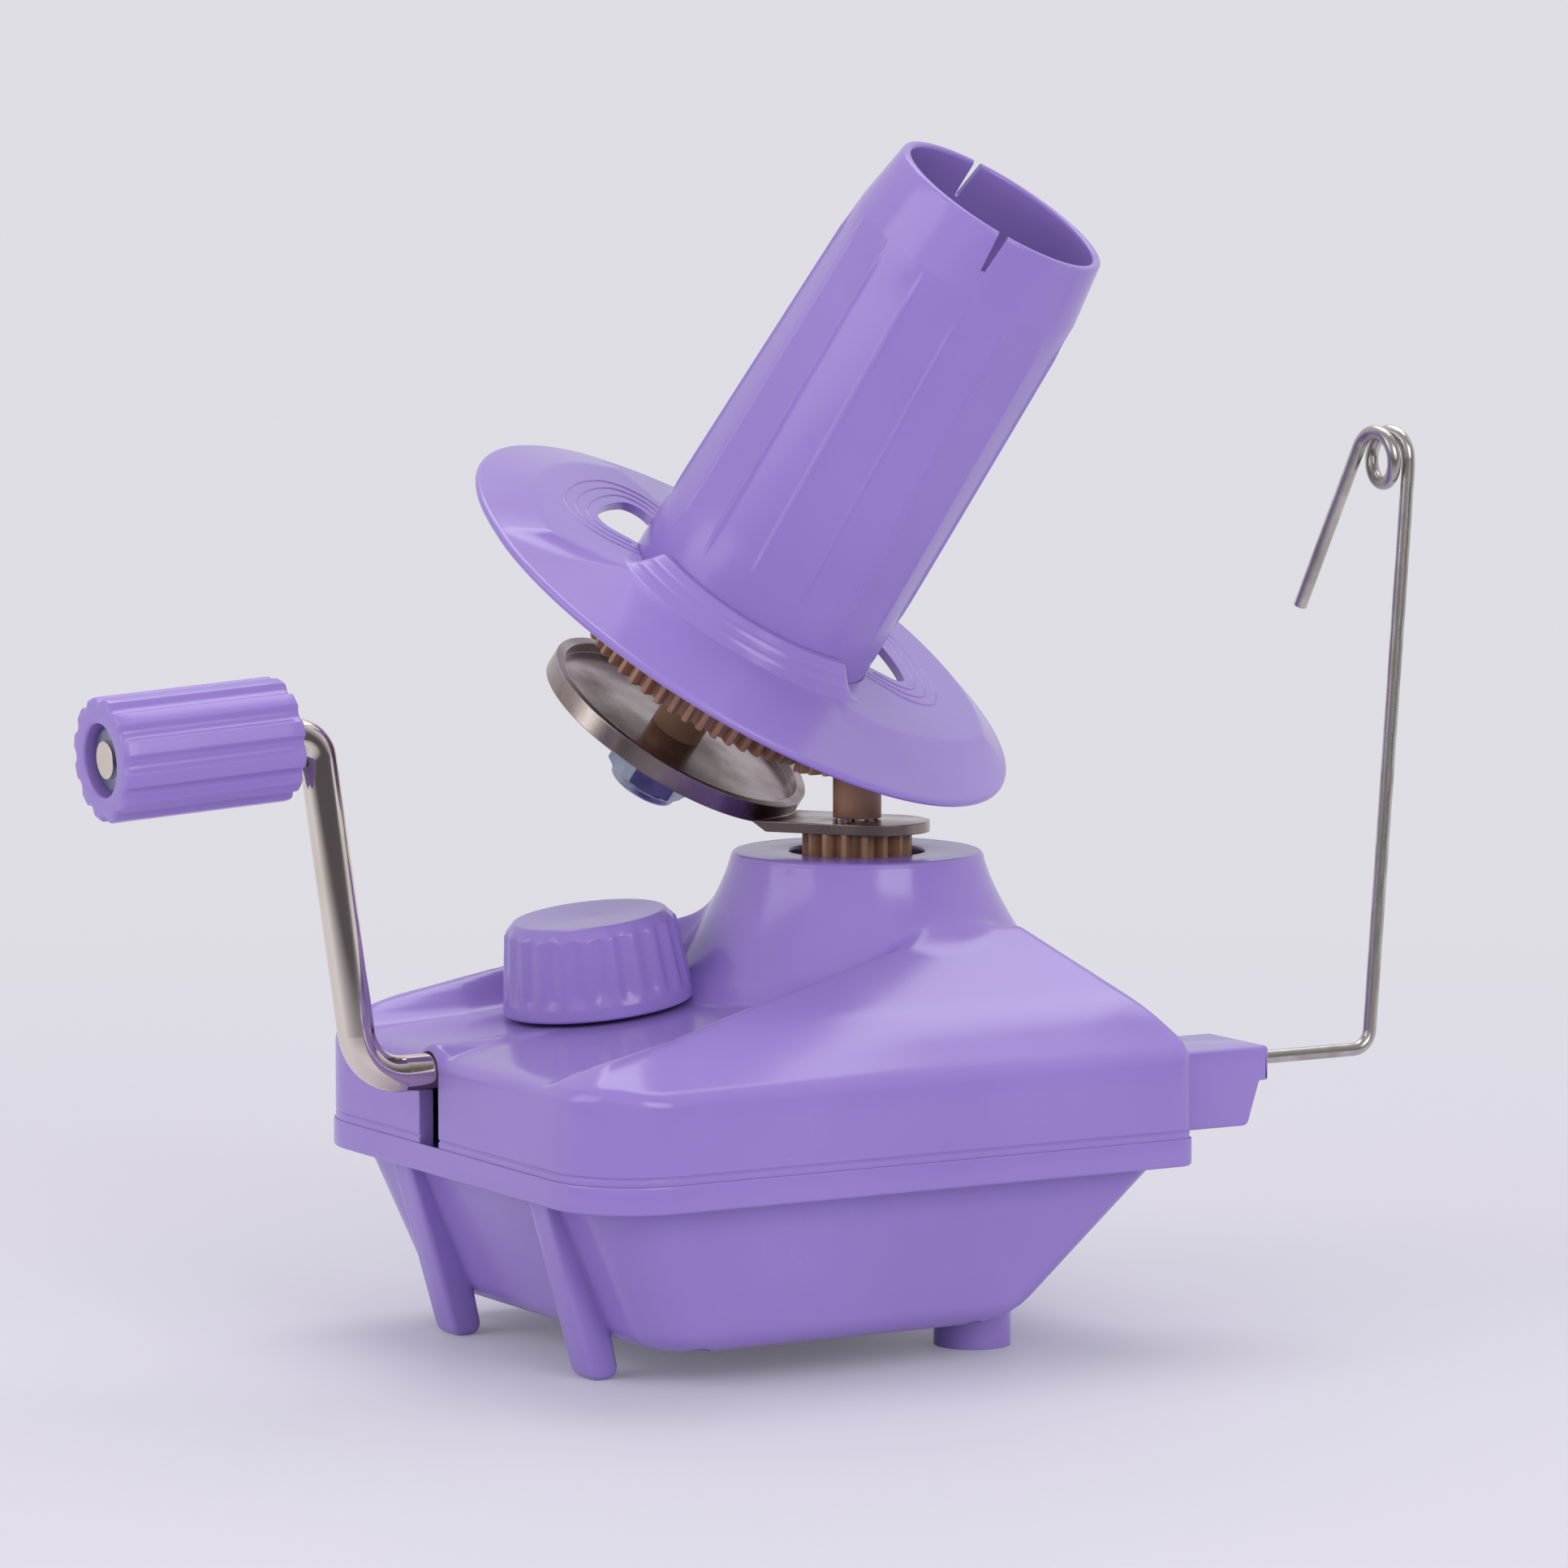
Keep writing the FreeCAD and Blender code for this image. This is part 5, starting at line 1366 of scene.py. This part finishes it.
flat = add(tree, "Mapping", Vector=spot, Location=floor_middle_shift)
far = add(tree, "VectorMath", {"operation": "LENGTH"})
put(tree, far.inputs[0], flat.outputs[0])
fade = add(tree, "MapRange", {"interpolation_type": "SMOOTHSTEP"}, Value=far.outputs["Value"],
           From_Min=fade_start, From_Max=fade_end, To_Min=fade_least, To_Max=1.0)
ray = add(tree, "LightPath")
seen = maths(tree, "MAXIMUM", ray.outputs["Is Camera Ray"], ray.outputs["Is Glossy Ray"])
share = maths(tree, "MULTIPLY", fade.outputs["Result"], seen)
blend = shader_mix(tree, share, shader.outputs[0], plain.outputs[0])
front_share = spread(tree, facing(tree, spot, to_camera), 0.0, 1.0, 0.12, 0.34)
dim = add(tree, "Emission", Color=dark_room, Strength=1.0)
dim_share = maths(tree, "MULTIPLY", front_share, ray.outputs["Is Glossy Ray"])
whole = shader_mix(tree, dim_share, blend, dim.outputs[0])
tree.links.new(whole, tree.nodes["Material Output"].inputs["Surface"])
floor.data.materials.append(floor_paint)


def soft_light(name, place, aim, width, height, power, colour):
    """A soft rectangular light aimed at a point."""
    lamp = bpy.data.lights.new(name, "AREA")
    lamp.shape = "RECTANGLE"
    lamp.size = width
    lamp.size_y = height
    lamp.energy = power
    lamp.color = colour
    lit = bpy.data.objects.new(name, lamp)
    lit.location = place
    lit.rotation_euler = (Vector(aim) - Vector(place)).to_track_quat("-Z", "Y").to_euler()
    bpy.context.scene.collection.objects.link(lit)


middle = (-0.02, 0.0, 0.08)
upper_middle = (0.0, 0.0, 0.12)
white = (1.0, 1.0, 1.0)
soft_light("left_light", (-1.25, 0.12, 0.60), middle, 1.0, 0.8, 4.9, (1.0, 0.99, 0.97))
soft_light("right_light", (0.10, -1.25, 0.62), middle, 0.7, 0.7, 5.2, (1.0, 1.0, 0.99))
soft_light("front_light", (-0.75, -0.95, 0.95), upper_middle, 2.0, 2.0, 5.0, white)
soft_light("top_light", (0.35, 0.45, 1.4), middle, 1.2, 1.0, 8.8, white)


# Surround: an even pale light on all pieces, and a plain backdrop for the camera.
# Glossy pieces see that backdrop behind the object and a dark room in front of it.
even_colour = (0.86, 0.85, 0.90, 1)
even_strength = 0.55
away_from_camera = (0.50, 0.85, 0.10)
world = bpy.data.worlds.new("surround")
bpy.context.scene.world = world
world.use_nodes = True
tree = world.node_tree
even = tree.nodes["Background"]
even.inputs["Color"].default_value = even_colour
even.inputs["Strength"].default_value = even_strength
direction = add(tree, "TexCoord").outputs["Generated"]
behind = spread(tree, facing(tree, direction, away_from_camera), 0.0, 1.0, -0.35, 0.25)
room = mixed(tree, behind, dark_room, backdrop_colour)
ray = add(tree, "LightPath")
seen_room = add(tree, "Background", Color=room, Strength=1.0)
seen_plain = add(tree, "Background", Color=backdrop_colour, Strength=1.0)
glossy = shader_mix(tree, ray.outputs["Is Glossy Ray"], even.outputs[0], seen_room.outputs[0])
whole = shader_mix(tree, ray.outputs["Is Camera Ray"], glossy, seen_plain.outputs[0])
tree.links.new(whole, tree.nodes["World Output"].inputs["Surface"])


# Camera: at the photograph's viewing angle and distance, with the same narrow field of view.
# The view transform is plain, so that the colours are those of the materials.
camera_turn = math.radians(-30.41)
camera_rise = math.radians(6.06)
camera_target = Vector((-14.48, 0, 92.72))
camera_distance = 1284.8
back = Vector((
    math.sin(camera_turn) * math.cos(camera_rise),
    -math.cos(camera_turn) * math.cos(camera_rise),
    math.sin(camera_rise),
))
lens = bpy.data.cameras.new("camera")
lens.lens = 173.69
lens.sensor_width = 36.0
lens.shift_y = -0.0016
camera = bpy.data.objects.new("camera", lens)
camera.location = (camera_target + back * camera_distance) / 1000
camera.rotation_euler = (-back).to_track_quat("-Z", "Y").to_euler()
bpy.context.scene.collection.objects.link(camera)
bpy.context.scene.camera = camera
bpy.context.scene.view_settings.view_transform = "Standard"
